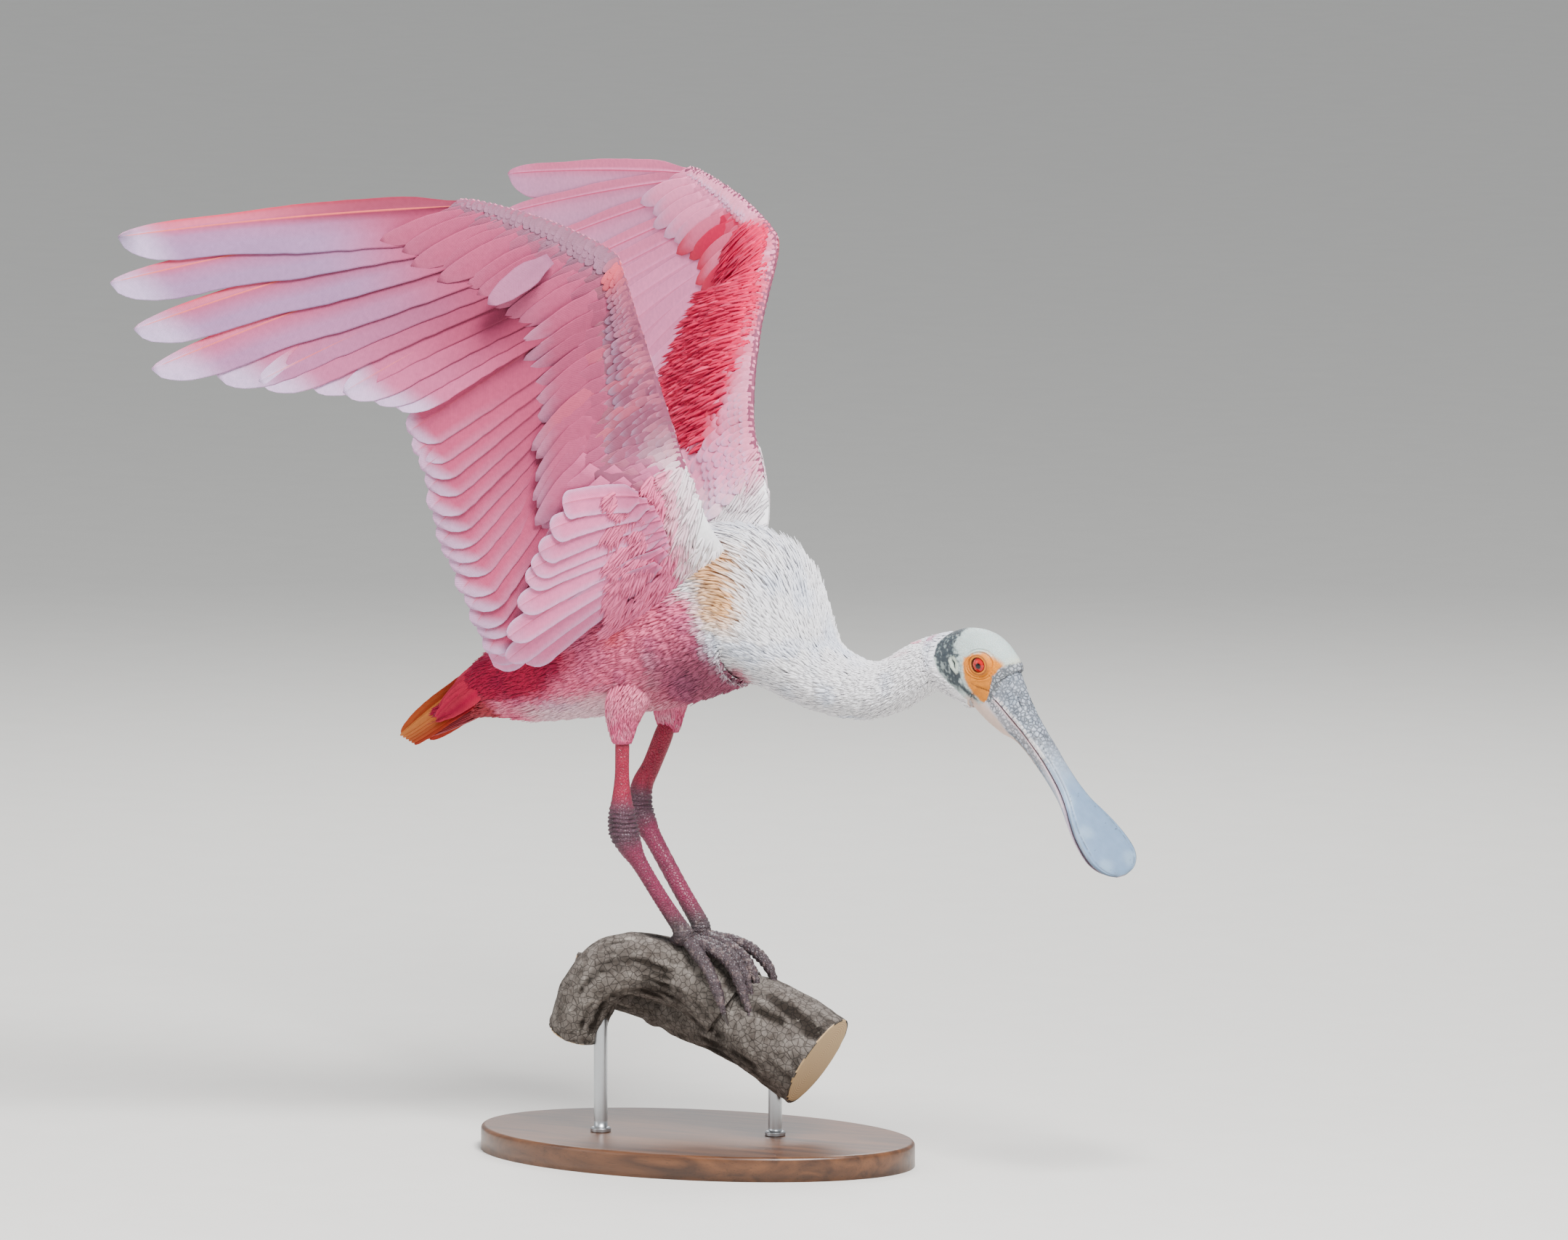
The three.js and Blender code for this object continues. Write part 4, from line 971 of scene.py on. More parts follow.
def make_skin():
    """One skin over the body, wings, head and legs, in place of the flesh solids."""
    legs = {1: LEFT_LEG, -1: RIGHT_LEG}
    parts = [("body", tube(body_skin_shape, 176, 330))]
    for side in (-1, 1):
        parts.append((f"wing{side}", tube(wing_skin_shape(side), 48, 150)))
        thigh = thigh_rows(side, 3.5)
        parts.append((f"thigh{side}", tube(limb_shape(thigh), 40, 50)))
        leg = mirrored(legs[side], side)
        parts.append((f"leg{side}", tube(limb_shape(leg), 36, 170)))
        toes = RIGHT_TOES if side < 0 else LEFT_TOES
        ankle, ball = np.array(leg[-1][:3]), np.array(toes[0][0])
        foot = [[*(ankle + (ball - ankle) * t), r, r]
                for t, r in ((-0.5, 5.4), (-0.1, 6.4), (0.35, 7.4), (0.8, 7.2), (1.2, 5.6), (1.4, 3))]
        parts.append((f"toe{side}ball", tube(limb_shape(foot), 32, 36)))
        for i, path in enumerate(toes):
            parts.append((f"toe{side}{i}", tube(limb_shape(toe_rows(path)), 20, 96)))
    sources = []
    objects = []
    for name, bm in parts:
        obj = object_of(bm, name)
        objects.append(obj)
        sources.append((name, vertex_points(obj.data)))
    skin = fuse(objects[0], objects[1:])
    skin.name = "skin"
    skin.data.name = "skin"
    refine_eyes(skin.data)

    tree = kdtree.KDTree(sum(len(points) for _, points in sources))
    owner = []
    for part, (_, points) in enumerate(sources):
        for point in points:
            tree.insert(point, len(owner))
            owner.append(part)
    tree.balance()
    points = vertex_points(skin.data)
    nearest = np.array([tree.find(point)[1] for point in points])
    part = np.array(owner)[nearest]
    normals = read(skin.data.vertex_normals, "vector", 3, np.float32).astype(float)
    u, turn = body_place(points)
    tint = body_colour(u, turn, points) * 0.86
    bare = bare_head(points)
    made = points.copy()
    head = part == 0
    made[head] = sculpt_head(points, normals)[head]
    tint = np.where((head & bare)[:, None], head_colour(in_head(made)), tint)
    patch = np.stack([turn / (2 * math.pi), u / len(BODY) * 0.6], -1)
    look = settings().plumage
    for number, (name, _) in enumerate(sources):
        mine = part == number
        side = -1 if "-" in name else 1
        if name.startswith("wing"):
            low = points[mine, 2:3] < 330
            front = points[mine, :1] > 6
            tint[mine] = np.where(low, np.where(front, look.white, look.body), look.under_covert)
            wing_u = wing_place(points[mine], side)
            patch[mine] = wing_patch((points[mine, 0] + 110) / 160, wing_u, side)
        elif name.startswith("thigh"):
            tint[mine] = look.thigh
            patch[mine] = thigh_patch(points[mine], side)
        elif name.startswith(("leg", "toe")):
            rows = np.array(mirrored(legs[side], side))
            place = leg_place(points[mine], rows)
            tint[mine] = leg_colour(points[mine, 2], place, points[mine])
            made[mine] = sculpt_leg(points[mine], normals[mine], place, points[mine, 2])
            patch[mine, 0] = 0.76 + 0.1 * (points[mine, 0] + 66) / 130 + (0.12 if side > 0 else 0)
            patch[mine, 1] = 0.62 + 0.3 * (points[mine, 2] + 60) / 220
    set_points(skin.data, made)
    set_tint(skin.data, tint)
    set_number(skin.data, "Leg", [sources[p][0].startswith(("leg", "toe")) for p in part])
    set_number(skin.data, "Bare", head & bare)
    set_number(skin.data, "Net", np.where(head & bare, horn_on_skin(in_head(made)) * 0.75, 0))
    set_wrapped_map(skin.data, *patch.T)
    skin.data.shade_smooth()
    return skin


def paint_faces(mesh):
    """Feather base, bare head and leg materials by the part that each face lies on."""
    starts = read(mesh.polygons, "loop_start")
    index = corner_vertices(mesh)
    number = np.zeros(len(starts), np.int32)
    for key, slot in (("Bare", 1), ("Leg", 2)):
        values = read(mesh.attributes[key].data, "value", 1, np.float32)
        number[np.maximum.reduceat(values[index], starts) > 0.5] = slot
    mesh.polygons.foreach_set("material_index", number)


def refine_eyes(mesh):
    """Finer faces where the lids are folded."""
    bm = bmesh.new()
    bm.from_mesh(mesh)
    for _ in range(2):
        centres = np.array([face.calc_center_median() for face in bm.faces]) * 1000
        local = in_head(centres - [0, 0, FEET_HEIGHT])
        near = np.hypot(local[:, 0] - EYE[0], local[:, 2] - EYE[2]) < 12
        near &= np.abs(local[:, 1]) > 8
        bm.faces.ensure_lookup_table()
        edges = {edge for i in np.flatnonzero(near) for edge in bm.faces[i].edges}
        bmesh.ops.subdivide_edges(bm, edges=list(edges), cuts=1, use_grid_fill=True)
    bm.to_mesh(mesh)
    bm.free()


# Points that are compared with a line at a time, to spare memory.
CHUNK = 4000


def body_place(points):
    """Nearest u and turn of the body for points near its surface."""
    grid_u = np.linspace(0, FOREHEAD, 177)
    row, along, _, _ = body_axes(grid_u)
    u = np.empty(len(points))
    for start in range(0, len(points), CHUNK):
        offset = points[start:start + CHUNK, None] - row[None, :, :3]
        ahead = np.abs((offset * along[None]).sum(-1)) * 3
        u[start:start + CHUNK] = grid_u[(ahead + np.linalg.norm(offset, axis=-1)).argmin(1)]
    row, _, side, up = body_axes(u)
    offset = points - row[:, :3]
    height = dot(offset, up)[:, 0]
    height = height / np.where(height > 0, row[:, 4], row[:, 5])
    turn = np.arctan2(height, dot(offset, side)[:, 0] / row[:, 3]) % (2 * math.pi)
    return u, turn


def wing_place(points, side):
    """Nearest u of the wing for points near it."""
    grid = np.linspace(0, FINGERTIP, 105)
    front, back, _, chord, _, _ = wing_axes(grid)
    middle = place_wing(front + back * (chord * 0.5)[:, None], side)
    gaps = np.linalg.norm(points[:, None] - middle[None], axis=-1)
    return grid[gaps.argmin(1)]


def leg_place(points, rows):
    """Place of each point along the rows of a leg."""
    grid = np.linspace(0, len(rows) - 1, 120)
    middle = between(rows, grid)[:, :3]
    gaps = np.linalg.norm(points[:, None] - middle[None], axis=-1)
    return grid[gaps.argmin(1)]


def bare_head(points):
    """True where the skin of the head is bare, false where feathers cover it."""
    local = in_head(points)
    limit = np.interp(local[:, 0], [-62, -58, -50, -39, -25, -11, -6],
                      [40, -20, -27, -30, -28, -26, -40])
    return (local[:, 2] > limit) & (local[:, 0] > -62)


# Eyes, bill and claws.

def make_eyes():
    """Glossy balls with a red iris, a dark pupil and a dark rim."""
    look = settings().skin
    made, tree, place, surface = material("cornea_over_iris", {
        "Roughness": 0.08, "Specular IOR Level": 0.15, "Coat Weight": 0.6, "Coat Roughness": 0.02})
    reach = add(tree, "Attribute", {"attribute_name": "Reach"}).outputs["Fac"]
    ring = add(tree, "ValToRGB", {"Fac": reach})
    stops = [(0.0, "#040303"), (0.27, "#050303"), (0.3, "#7a0c08"), (0.4, None), (0.58, None),
             (0.76, "#7d0f0c"), (0.82, "#1c0908"), (1.0, "#100808")]
    ring.color_ramp.elements.remove(ring.color_ramp.elements[1])
    for i, (radius, code) in enumerate(stops):
        stop = ring.color_ramp.elements[0] if i == 0 else ring.color_ramp.elements.new(radius)
        stop.position = radius
        stop.color = (*(linear(code) if code else look.iris), 1)
    # Fibres of the iris, about 0.4 mm wide.
    fibre = add(tree, "TexNoise", {"Scale": 2600, "Detail": 2, "Vector": place})
    shade = add(tree, "MapRange", {"To Min": 0.6, "To Max": 1.35, "Value": fibre})
    feed(surface, {"Base Color": add(tree, "Mix", {**TIMES, 6: ring, 7: shade})})
    for name, side in (("left", 1), ("right", -1)):
        bm = bmesh.new()
        bmesh.ops.create_uvsphere(bm, u_segments=64, v_segments=64, radius=EYE_RADIUS)
        co = np.array([v.co for v in bm.verts])
        aim = unit(np.array(GAZE) * [1, side, 1])
        first = unit(np.cross(aim, [0, 0, 1]))
        turned_co = co[:, :1] * first + co[:, 1:2] * np.cross(aim, first) + co[:, 2:] * aim
        reach = np.hypot(co[:, 0], co[:, 1])
        reach = np.where(co[:, 2] < 0, EYE_RADIUS, reach) / EYE_RADIUS
        swell = 1 + 0.03 * spot(reach, 0.3, 0.5) * (co[:, 2] > 0)
        points = on_frame(on_head(turned_co * swell[:, None] + EYE * [1, side, 1]))
        for vert, point in zip(bm.verts, points):
            vert.co = point
        bmesh.ops.recalc_face_normals(bm, faces=bm.faces)
        obj = object_of(bm, f"eye_ball_{name}")
        set_number(obj.data, "Reach", reach)
        obj.data.materials.append(made)
        obj.data.shade_smooth()
        finish_piece(obj, [f"eye_{name}"])


def bill_shape(rows, upper):
    """Half of the bill, rounded outside and flat along the mouth."""
    def shape(share, turn):
        u = share * (len(rows) - 1)
        table = between(rows, u)
        x, half, low, high = table.T
        cos, rise = np.cos(turn), np.sin(turn)
        across = np.sign(cos) * np.abs(cos) ** 0.8 * half
        edge = np.minimum(0.6, (high - low) / 4)
        flat = low + edge if upper else high - edge
        tall = high - flat if upper else flat - low
        outer = rise > 0 if upper else rise < 0
        height = flat + rise * np.where(outer, tall, edge)
        local = np.stack([x, across, height], -1)
        push = bill_relief(local, half, outer, upper, np.abs(height - flat))
        local[:, 2] += push * np.sign(rise) * 0.8
        local[:, 1] += push * np.sign(across) * 0.5
        return on_head(local)
    return shape


def nostril_and_groove(x, y, half):
    """Distance from the nostril's slot in shares of its size, and from the groove in mm."""
    slot = np.hypot((x - 17.5) / 6.2, (y - 5.6) / 1.0)
    groove = np.abs(y / half - lookup([[24, 0.62], [60, 0.72], [100, 0.8], [160, 0.86]], x)) * half
    return slot, groove


def bill_relief(local, half, outer, upper, rise):
    """Height of the bill's grooves, plates and rough base over its smooth form."""
    x, y = local[:, 0], np.abs(local[:, 1])
    rough = (1 - ramp(x, 55, 85)) * outer
    push = rough * (0.4 * (ridged(local * [0.8, 1, 1], 2.9, 51) - 0.4)
                    + 0.15 * noise(local, 1.1, 52))
    if not upper:
        return push * 0.7
    slot, groove = nostril_and_groove(x, y, half)
    push -= 1.5 * spot(slot, 0.8, 0.5) * outer
    push += 0.25 * spot(np.abs(slot - 1.5), 0.25, 0.6) * outer
    push -= 0.45 * spot(groove, 0.35, 0.9) * ramp(x, 26, 34) * (1 - ramp(x, 158, 166)) * outer
    row, plate = bill_plates(x, rise)
    push += row * outer * (0.55 - 0.8 * ramp(plate, 0.7, 0.95))
    rim = ramp(y / half, 0.86, 0.97) * ramp(x, 100, 118) * outer
    return push + rim * 0.4


def bill_plates(x, rise):
    """Row of small plates above the mouth line: where it is, and 1 in the gaps between them."""
    row = spot(np.abs(rise - 1.7), 1.3, 0.5) * ramp(x, 2, 6) * (1 - ramp(x, 58, 68))
    return row, np.abs((x / 3.9) % 1 - 0.5) * 2


def bill_colour(local, half, outer, upper, rise):
    """Colours of the bill: grey-blue spoon, netted base with pale plates, dotted groove."""
    look = settings().skin
    x, y, z = local.T
    share = np.abs(y) / half
    c = plain(look.bill, x.shape)
    c = blend(c, "#a9adb6", (1 - ramp(x, 50, 100)) * 0.8)
    c = blend(c, "#9cb2c6", ramp(noise(local, 14, 61), 0.0, 0.8) * 0.4)
    c = blend(c, "#71869c", ramp(noise(local, 7, 62), 0.2, 0.9) * 0.3)
    dark = (1 - ramp(x, 45, 92)) * (0.65 + 0.35 * ramp(noise(local, 6, 63), -0.3, 0.5))
    c = blend(c, look.bill_net, (1 - ramp(ridged(local, 1.3, 53), 0.02, 0.2)) * dark * outer * 0.5)
    if upper:
        row, plate = bill_plates(x, rise)
        c = blend(c, look.bill_plate, row * (1 - ramp(plate, 0.72, 0.9)) * outer * 0.85)
        c = blend(c, look.bill_net, row * ramp(plate, 0.75, 0.95) * outer * 0.7)
        slot, groove = nostril_and_groove(x, np.abs(y), half)
        c = blend(c, "#20242a", spot(slot, 0.85, 0.3) * outer)
        dots = ramp(noise(local, 1.7, 64), -0.35, 0.15)
        c = blend(c, "#4d5763", spot(groove, 0.4, 0.7) * dots * ramp(x, 26, 34) * outer * 0.9)
        fleck = ramp(noise(local, 1.6, 65), 0.8, 0.86) * ramp(x, 80, 100)
        c = blend(c, "#3d4650", fleck * outer * 0.8)
        tip = ramp(noise(local, 3, 66), 0.3, 0.7) * ramp(x, 163, 166)
        tip = tip + ramp(share, 0.93, 0.98) * ramp(x, 95, 120) * 0.8
        c = blend(c, "#2f3a44", np.clip(tip, 0, 1) * 0.85)
        fore = (1 - ramp(x, -6, -1)) * ramp(z, 4, 10)
        c = blend(c, "#4a4038", fore * ramp(noise(local, 1.4, 67), -0.2, 0.4) * 0.7)
    else:
        pouch = (ramp(-z, 12.5, 15) * (1 - ramp(x, 36, 60))
                 + ramp(0.82 - share, 0.0, 0.1) * (1 - ramp(x, 60, 90)))
        c = blend(c, look.gular, np.clip(pouch, 0, 1) * outer * 0.95)
        c = blend(c, "#d2cbd0", spot(np.abs(share - 0.97), 0.05, 0.05) * (x < 100) * 0.5)
    c = blend(c, "#b98d8a", (1 - outer) * 0.5)
    return c


def horn_material():
    """Keratin of the bill: satin, finely pitted, over bone."""
    made, tree, place, surface = material("bill_keratin", {
        "Specular IOR Level": 0.45, "Subsurface Weight": 0.05, "Subsurface Scale": 0.002})
    tint = add(tree, "Attribute", {"attribute_name": TINT})
    # Pits of about 0.7 mm, wear in patches of about 6 mm.
    pits = add(tree, "TexNoise", {"Scale": 1500, "Detail": 4, "Vector": place})
    wear = add(tree, "TexNoise", {"Scale": 160, "Detail": 5, "Vector": place})
    shade = add(tree, "MapRange", {"To Min": 0.84, "To Max": 1.12, "Value": wear})
    rough = add(tree, "MapRange", {"To Min": 0.32, "To Max": 0.55, "Value": wear})
    base = add(tree, "Mix", {**TIMES, 6: tint, 7: shade})
    base, net = net_over(tree, base, place)
    sunk = add(tree, "Math", {"operation": "MULTIPLY_ADD", 0: net, 1: -3.0, 2: pits})
    bump = add(tree, "Bump", {"Strength": 0.5, "Distance": 0.0002, "Height": sunk})
    feed(surface, {"Base Color": base, "Roughness": rough, "Normal": bump})
    return made


def make_bill():
    """Both halves of the bill, with markings, grooves and plates."""
    horn = horn_material()
    for name, rows, upper, steps in (("upper", UPPER_BILL, True, 330),
                                     ("lower", LOWER_BILL, False, 240)):
        bm = tube(bill_shape(rows, upper), 88 if upper else 64, steps)
        obj = object_of(bm, f"bill_{name}_horn")
        local = in_head(vertex_points(obj.data))
        table = between(rows, np.linspace(0, len(rows) - 1, 600))
        half = np.interp(local[:, 0], table[:, 0], table[:, 1])
        low = np.interp(local[:, 0], table[:, 0], table[:, 2])
        high = np.interp(local[:, 0], table[:, 0], table[:, 3])
        outer = (local[:, 2] > low + 0.62 if upper else local[:, 2] < high - 0.62) * 1.0
        edge = np.minimum(0.6, (high - low) / 4)
        rise = np.abs(local[:, 2] - (low + edge if upper else high - edge))
        set_tint(obj.data, bill_colour(local, half, outer, upper, rise))
        net = (1 - ramp(local[:, 0], 45, 85)) * outer * (0.75 + 0.25 * noise(local, 9, 68))
        net = net * (1 - 0.7 * bill_plates(local[:, 0], rise)[0] if upper else local[:, 2] > -13)
        set_number(obj.data, "Net", net * 0.9)
        obj.data.materials.append(horn)
        obj.data.shade_smooth()
        finish_piece(obj, [f"bill_{name}"])


def make_claws():
    """Short curved black claws at the toes' tips."""
    look = settings().skin
    made, tree, place, surface = material("claw_keratin", {
        "Roughness": 0.3, "Specular IOR Level": 0.5})
    # Streaks of about 1.5 mm.
    streak = add(tree, "TexNoise", {"Scale": 700, "Detail": 3, "Vector": place})
    base = add(tree, "Mix", {**OVER, 0: streak, 6: look.claw, 7: linear("#3a302c")})
    feed(surface, {"Base Color": base})
    for name, toes in (("right", RIGHT_TOES), ("left", LEFT_TOES)):
        whole = bmesh.new()
        for path in toes:
            tip, before = np.array(path[-1], float), np.array(path[-2], float)
            along = unit(tip - before)
            rows = []
            for k in range(6):
                t = k / 5
                curl = np.array([-0.35 * along[2] * t, 0, -0.35 * t]) * 3
                point = tip - along * 2.2 + along * 8.5 * t + curl
                radius = 2.0 * (1 - t) ** 0.7 + 0.18
                rows.append([*point, radius * 0.8, radius])
            claw = tube(limb_shape(rows), 14, 12)
            mesh = bpy.data.meshes.new("claw")
            claw.to_mesh(mesh)
            claw.free()
            whole.from_mesh(mesh)
            bpy.data.meshes.remove(mesh)
        obj = object_of(whole, f"claws_{name}")
        obj.data.materials.append(made)
        obj.data.shade_smooth()
        finish_piece(obj)


# Feathers.

# Rings along a vane, places of its columns across, thickness in mm, width at its root, shares of
# its length where it reaches its full width and where its tip begins to round, how far its edges
# hang, height of its shaft in mm, and how ragged its edges are.
FLIGHT = {"rings": 30, "columns": [-1, -0.95, -0.62, -0.25, -0.05, 0, 0.06, 0.3, 0.66, 0.95, 1],
          "thick": 0.45, "neck": 0.4, "rise": 0.18, "round": 0.9, "camber": 0.025, "ridge": 0.7,
          "fray": 0.035}
COVERT = {"rings": 9, "columns": [-1, -0.86, 0, 0.86, 1], "thick": 0.3,
          "neck": 0.45, "rise": 0.4, "round": 0.35, "camber": 0.06, "ridge": 0.12, "fray": 0.06}
PLUME = {"rings": 5, "columns": [-1, 0, 1], "thick": 0.5,
         "neck": 0.45, "rise": 0.4, "round": 0.35, "camber": 0, "ridge": 0, "fray": 0.12}
TUFT = {"rings": 4, "columns": [-1, 0, 1], "thick": 0.32,
        "neck": 0.5, "rise": 0.5, "round": 0.4, "camber": 0, "ridge": 0, "fray": 0.15}


def vanes(root, tip, across, above, widths, form, paint, patch, rng, bow=0.0, rise=0.0, narrow=0.0):
    """Closed thin vanes, one per root. Widths are those at each side of the shaft."""
    n = len(root)
    even = np.linspace(0, 1, form["rings"])
    t = 1 - (1 - even) ** 1.25
    top = np.array(form["columns"], float)
    slim = len(top) == 3
    s = top if slim else np.concatenate([top, top[::-1]])
    face = np.ones(3) if slim else np.repeat([1.0, 0.0], len(top))
    T, S = np.meshgrid(t, s, indexing="ij")
    face = np.broadcast_to(face, T.shape)
    along = tip - root
    span = np.linalg.norm(along, axis=-1)
    along = unit(along)
    across = unit(across - along * dot(across, along))
    above = unit(above - along * dot(above, along) - across * dot(above, across))
    over = np.clip((T - form["round"]) / (1 - form["round"]), 0, 1)
    outline = ((form["neck"] + (1 - form["neck"]) * ramp(T, 0, form["rise"]))
               * np.sqrt(1 - 0.997 * over ** 2))
    wide = [np.broadcast_to(np.asarray(w, float), (n,))[:, None, None] for w in widths]
    half = np.where(S > 0, wide[0], wide[1]) * outline
    pinch = np.broadcast_to(np.asarray(narrow, float), (n,))[:, None, None] * ramp(T, 0.45, 0.68)
    half = half * (1 - pinch * np.where(S > 0, 1, 0.7))
    ragged = 1 - form["fray"] * rng.random((n, form["rings"], 1)) * (np.abs(S) > 0.9) * (T > 0.15)
    x = S * half * ragged
    bows = np.broadcast_to(np.asarray(bow, float), (n,))[:, None, None]
    rises = np.broadcast_to(np.asarray(rise, float), (n,))[:, None, None]
    height = rises * 4 * T * (1 - T) - form["camber"] * np.abs(S) ** 1.5 * half
    height = height + np.where(S == 0, form["ridge"] * (1 - 0.7 * T), 0)
    if slim:
        height = height + np.where(S == 0, form["thick"], 0)
    else:
        height = height - (1 - face) * form["thick"] * (1 - 0.75 * np.abs(S))
        height = height - (1 - face) * np.where(S == 0, 2 * form["ridge"] * (1 - 0.7 * T), 0)
    run = T * span[:, None, None]
    points = (root[:, None, None] + along[:, None, None] * run[..., None]
              + across[:, None, None] * (x + bows * 4 * T * (1 - T))[..., None]
              + above[:, None, None] * height[..., None])
    centre, size = (np.broadcast_to(np.asarray(v, float), (n, 2))[:, None, None] for v in patch)
    bake = centre + size * np.stack([S * 0.5, T - 0.5], -1)
    vane = np.stack([x, run + np.abs(x) * -0.7], -1)
    return {"points": points, "tint": paint(T, S, face), "vane": vane, "bake": bake}


def feather_piece(name, batches, made):
    """One mesh from batches of vanes."""
    starts, loops, data = [], [], {"points": [], "tint": [], "vane": [], "bake": []}
    first = 0
    for batch in batches:
        n, rings, around = batch["points"].shape[:3]
        number = first + np.arange(n * rings * around).reshape(n, rings, around)
        after = np.roll(number, -1, axis=2)
        quads = np.stack([number[:, :-1], after[:, :-1], after[:, 1:], number[:, 1:]], -1)
        ends = np.concatenate([number[:, 0, ::-1], number[:, -1]])
        one = batch["points"][0]
        ring = np.stack([one[:-1], np.roll(one, -1, axis=1)[:-1], np.roll(one, -1, axis=1)[1:]], -2)
        ring = (ring - one.mean((0, 1))).reshape(-1, 3, 3)
        if dot(ring[:, 0], np.cross(ring[:, 1], ring[:, 2])).sum() < 0:
            quads, ends = quads[..., ::-1], ends[:, ::-1]
        loops += [quads.ravel(), ends.ravel()]
        starts += [np.full(quads.size // 4, 4), np.full(len(ends), around)]
        for key in data:
            data[key].append(batch[key].reshape(n * rings * around, -1))
        first += number.size
    points, tint, vane, bake = (
        np.concatenate(data[key]) for key in ("points", "tint", "vane", "bake"))
    loops = np.concatenate(loops)
    counts = np.concatenate(starts)
    mesh = bpy.data.meshes.new(name)
    mesh.vertices.add(len(points))
    mesh.vertices.foreach_set("co", on_frame(points).astype(np.float32).ravel())
    mesh.loops.add(len(loops))
    mesh.loops.foreach_set("vertex_index", loops.astype(np.int32))
    mesh.polygons.add(len(counts))
    mesh.polygons.foreach_set("loop_start", (np.cumsum(counts) - counts).astype(np.int32))
    mesh.update(calc_edges=True)
    mesh.validate()
    set_tint(mesh, tint)
    index = corner_vertices(mesh)
    set_map(mesh, BAKE_MAP, bake[index])
    set_map(mesh, VANE_MAP, vane[index])
    mesh.materials.append(made)
    mesh.shade_smooth()
    finish_piece(bpy.data.objects.new(name, mesh))


def moved(batch, side):
    """Vanes of the wing's frame on the right or the left of the bird."""
    return {**batch, "points": place_wing(batch["points"], side)}


def spread_axes(root, tip, above, tilt):
    """Directions across and above for feathers that stand in a row."""
    span = np.gradient(root + tip, axis=0)
    along = unit(tip - root)
    across = unit(span - along * dot(span, along))
    normal = np.cross(along, across)
    normal = normal * np.sign(dot(normal, above))
    cos, sin = math.cos(math.radians(tilt)), math.sin(math.radians(tilt))
    return across * cos + normal * sin, normal * cos - across * sin


def fan(tips, count, span, rng, lift, reach, tilt):
    """Roots, tips and directions of flight feathers from the bone line to a row of tips."""
    share = np.arange(count) / (count - 1)
    front, back, above, chord, _, _ = wing_axes(span[0] + (span[1] - span[0]) * share)
    root = front + back * (chord - 2)[:, None] + above * lift
    aim = between(tips, share * (len(tips) - 1))
    far = np.asarray(reach) + rng.uniform(-0.012, 0.012, count)
    tip = root + (aim - root) * far[:, None]
    return root, tip, *spread_axes(root, tip, above, tilt)


def strips(count, row, rows):
    """Cell of the bake map for each of a few long feathers."""
    centre = np.stack([(np.arange(count) + 0.5) / count, np.full(count, (row + 0.5) / rows)], -1)
    return centre, np.array([0.86 / count, 0.9 / rows])


def flight_paint(count, kind, rng):
    """Colours of flight feathers: rose below with lilac edges, pale pink above."""
    look = settings().plumage
    share = (np.arange(count) / (count - 1))[:, None, None]
    tone = rng.uniform(-1, 1, (count, 1, 1))
    seed = rng.integers(0, 999)

    def paint(T, S, face):
        shape = (count, *T.shape)
        place = np.stack([np.broadcast_to(T * 60, shape), np.broadcast_to(S * 8, shape),
                          np.broadcast_to(share * 900, shape)], -1)
        drift = noise(place, 9, seed) * 0.5 + noise(place, 3.5, seed + 1) * 0.3
        edge = np.clip(-S, 0, 1)
        outer = np.clip(S, 0, 1)
        below = plain(look.under_vane, shape)
        above = plain(look.upper_vane, shape)
        if kind == "primary":
            rosy = ramp(outer, 0.04, 0.3) * ramp(share, 0.25, 0.75) * (1 - 0.7 * ramp(T, 0.8, 0.97))
            below = blend(below, "#e0708c", rosy * 0.7)
            below = blend(below, look.leading,
                          ramp(outer, 0.6, 0.95) * ramp(share, 0.25, 0.75) * 0.9)
            inner = ramp(edge, 0.02, 0.7 - 0.35 * ramp(share, 0.6, 1)) * ramp(share, 0.3, 0.85)
            below = blend(below, "#b9719a", ramp(T, 0.3, 0.8) * (1 - rosy) * 0.4)
            below = blend(below, "#9d82ac", inner * ramp(T, 0.1, 0.45) * 0.85)
            # Painted shade: dark rose toward the roots of the primaries, where they lie under the coverts
            # and one another.
            below = blend(below, "#75243c", (1 - ramp(T, 0.25, 0.8)) * (1 - inner) * 0.75)
            below = blend(below, look.lilac,
                          ramp(T + 0.04 * edge, 0.84, 0.97) * (1 - rosy * 0.8) * 0.85)
            tip = ramp(T, 0.93, 0.99) * (share > 0.95)
            below = blend(below, "#4c4650", tip * ramp(drift, -0.3, 0.2) * 0.6)
            above = blend(above, look.leading, rosy * 0.35)
            above = blend(above, look.lilac, inner * 0.35)
        elif kind == "secondary":
            # Painted shade toward the roots, where the secondaries lie under one another and under the
            # coverts.
            below = blend(below, look.root_shade, (1 - ramp(T, 0.25, 0.85)) * 0.4)
            below = blend(below, look.lilac, ramp(T + 0.03 * np.abs(S), 0.93, 0.99) * 0.65)
            below = blend(below, look.lilac, ramp(edge, 0.8, 1) * ramp(T, 0.5, 0.9) * 0.25)
            above = blend(above, look.lilac, ramp(T, 0.8, 1) * 0.4)
        else:
            below = blend(below, look.axillar, 0.9)
            below = blend(below, look.lilac, ramp(np.abs(S), 0.5, 1) * 0.5 + ramp(T, 0.85, 1) * 0.3)
            above = blend(above, look.body, 0.45)
        # Painted shade at the roots of every flight feather, under the coverts.
        below = blend(below, look.root_shade, (1 - ramp(T, 0.08, 0.4)) * 0.35)
        below = below * (1 + 0.09 * drift + 0.05 * tone)[..., None]
        above = above * (1 + 0.06 * drift + 0.04 * tone)[..., None]
        c = np.where(np.broadcast_to(face, shape)[..., None] > 0.5, above, below)
        stem = (S == 0) & (T < 0.97)
        if kind == "primary":
            c = blend(c, look.shaft, stem * (0.35 + 0.6 * ramp(share, 0.3, 0.8)) * (face < 0.5))
            c = blend(c, "#dc3c6c", stem * (0.25 + 0.7 * ramp(share, 0.4, 0.7)) * (face > 0.5))
        else:
            c = blend(c, "#c2506a", stem * 0.6)
        return c

    return paint


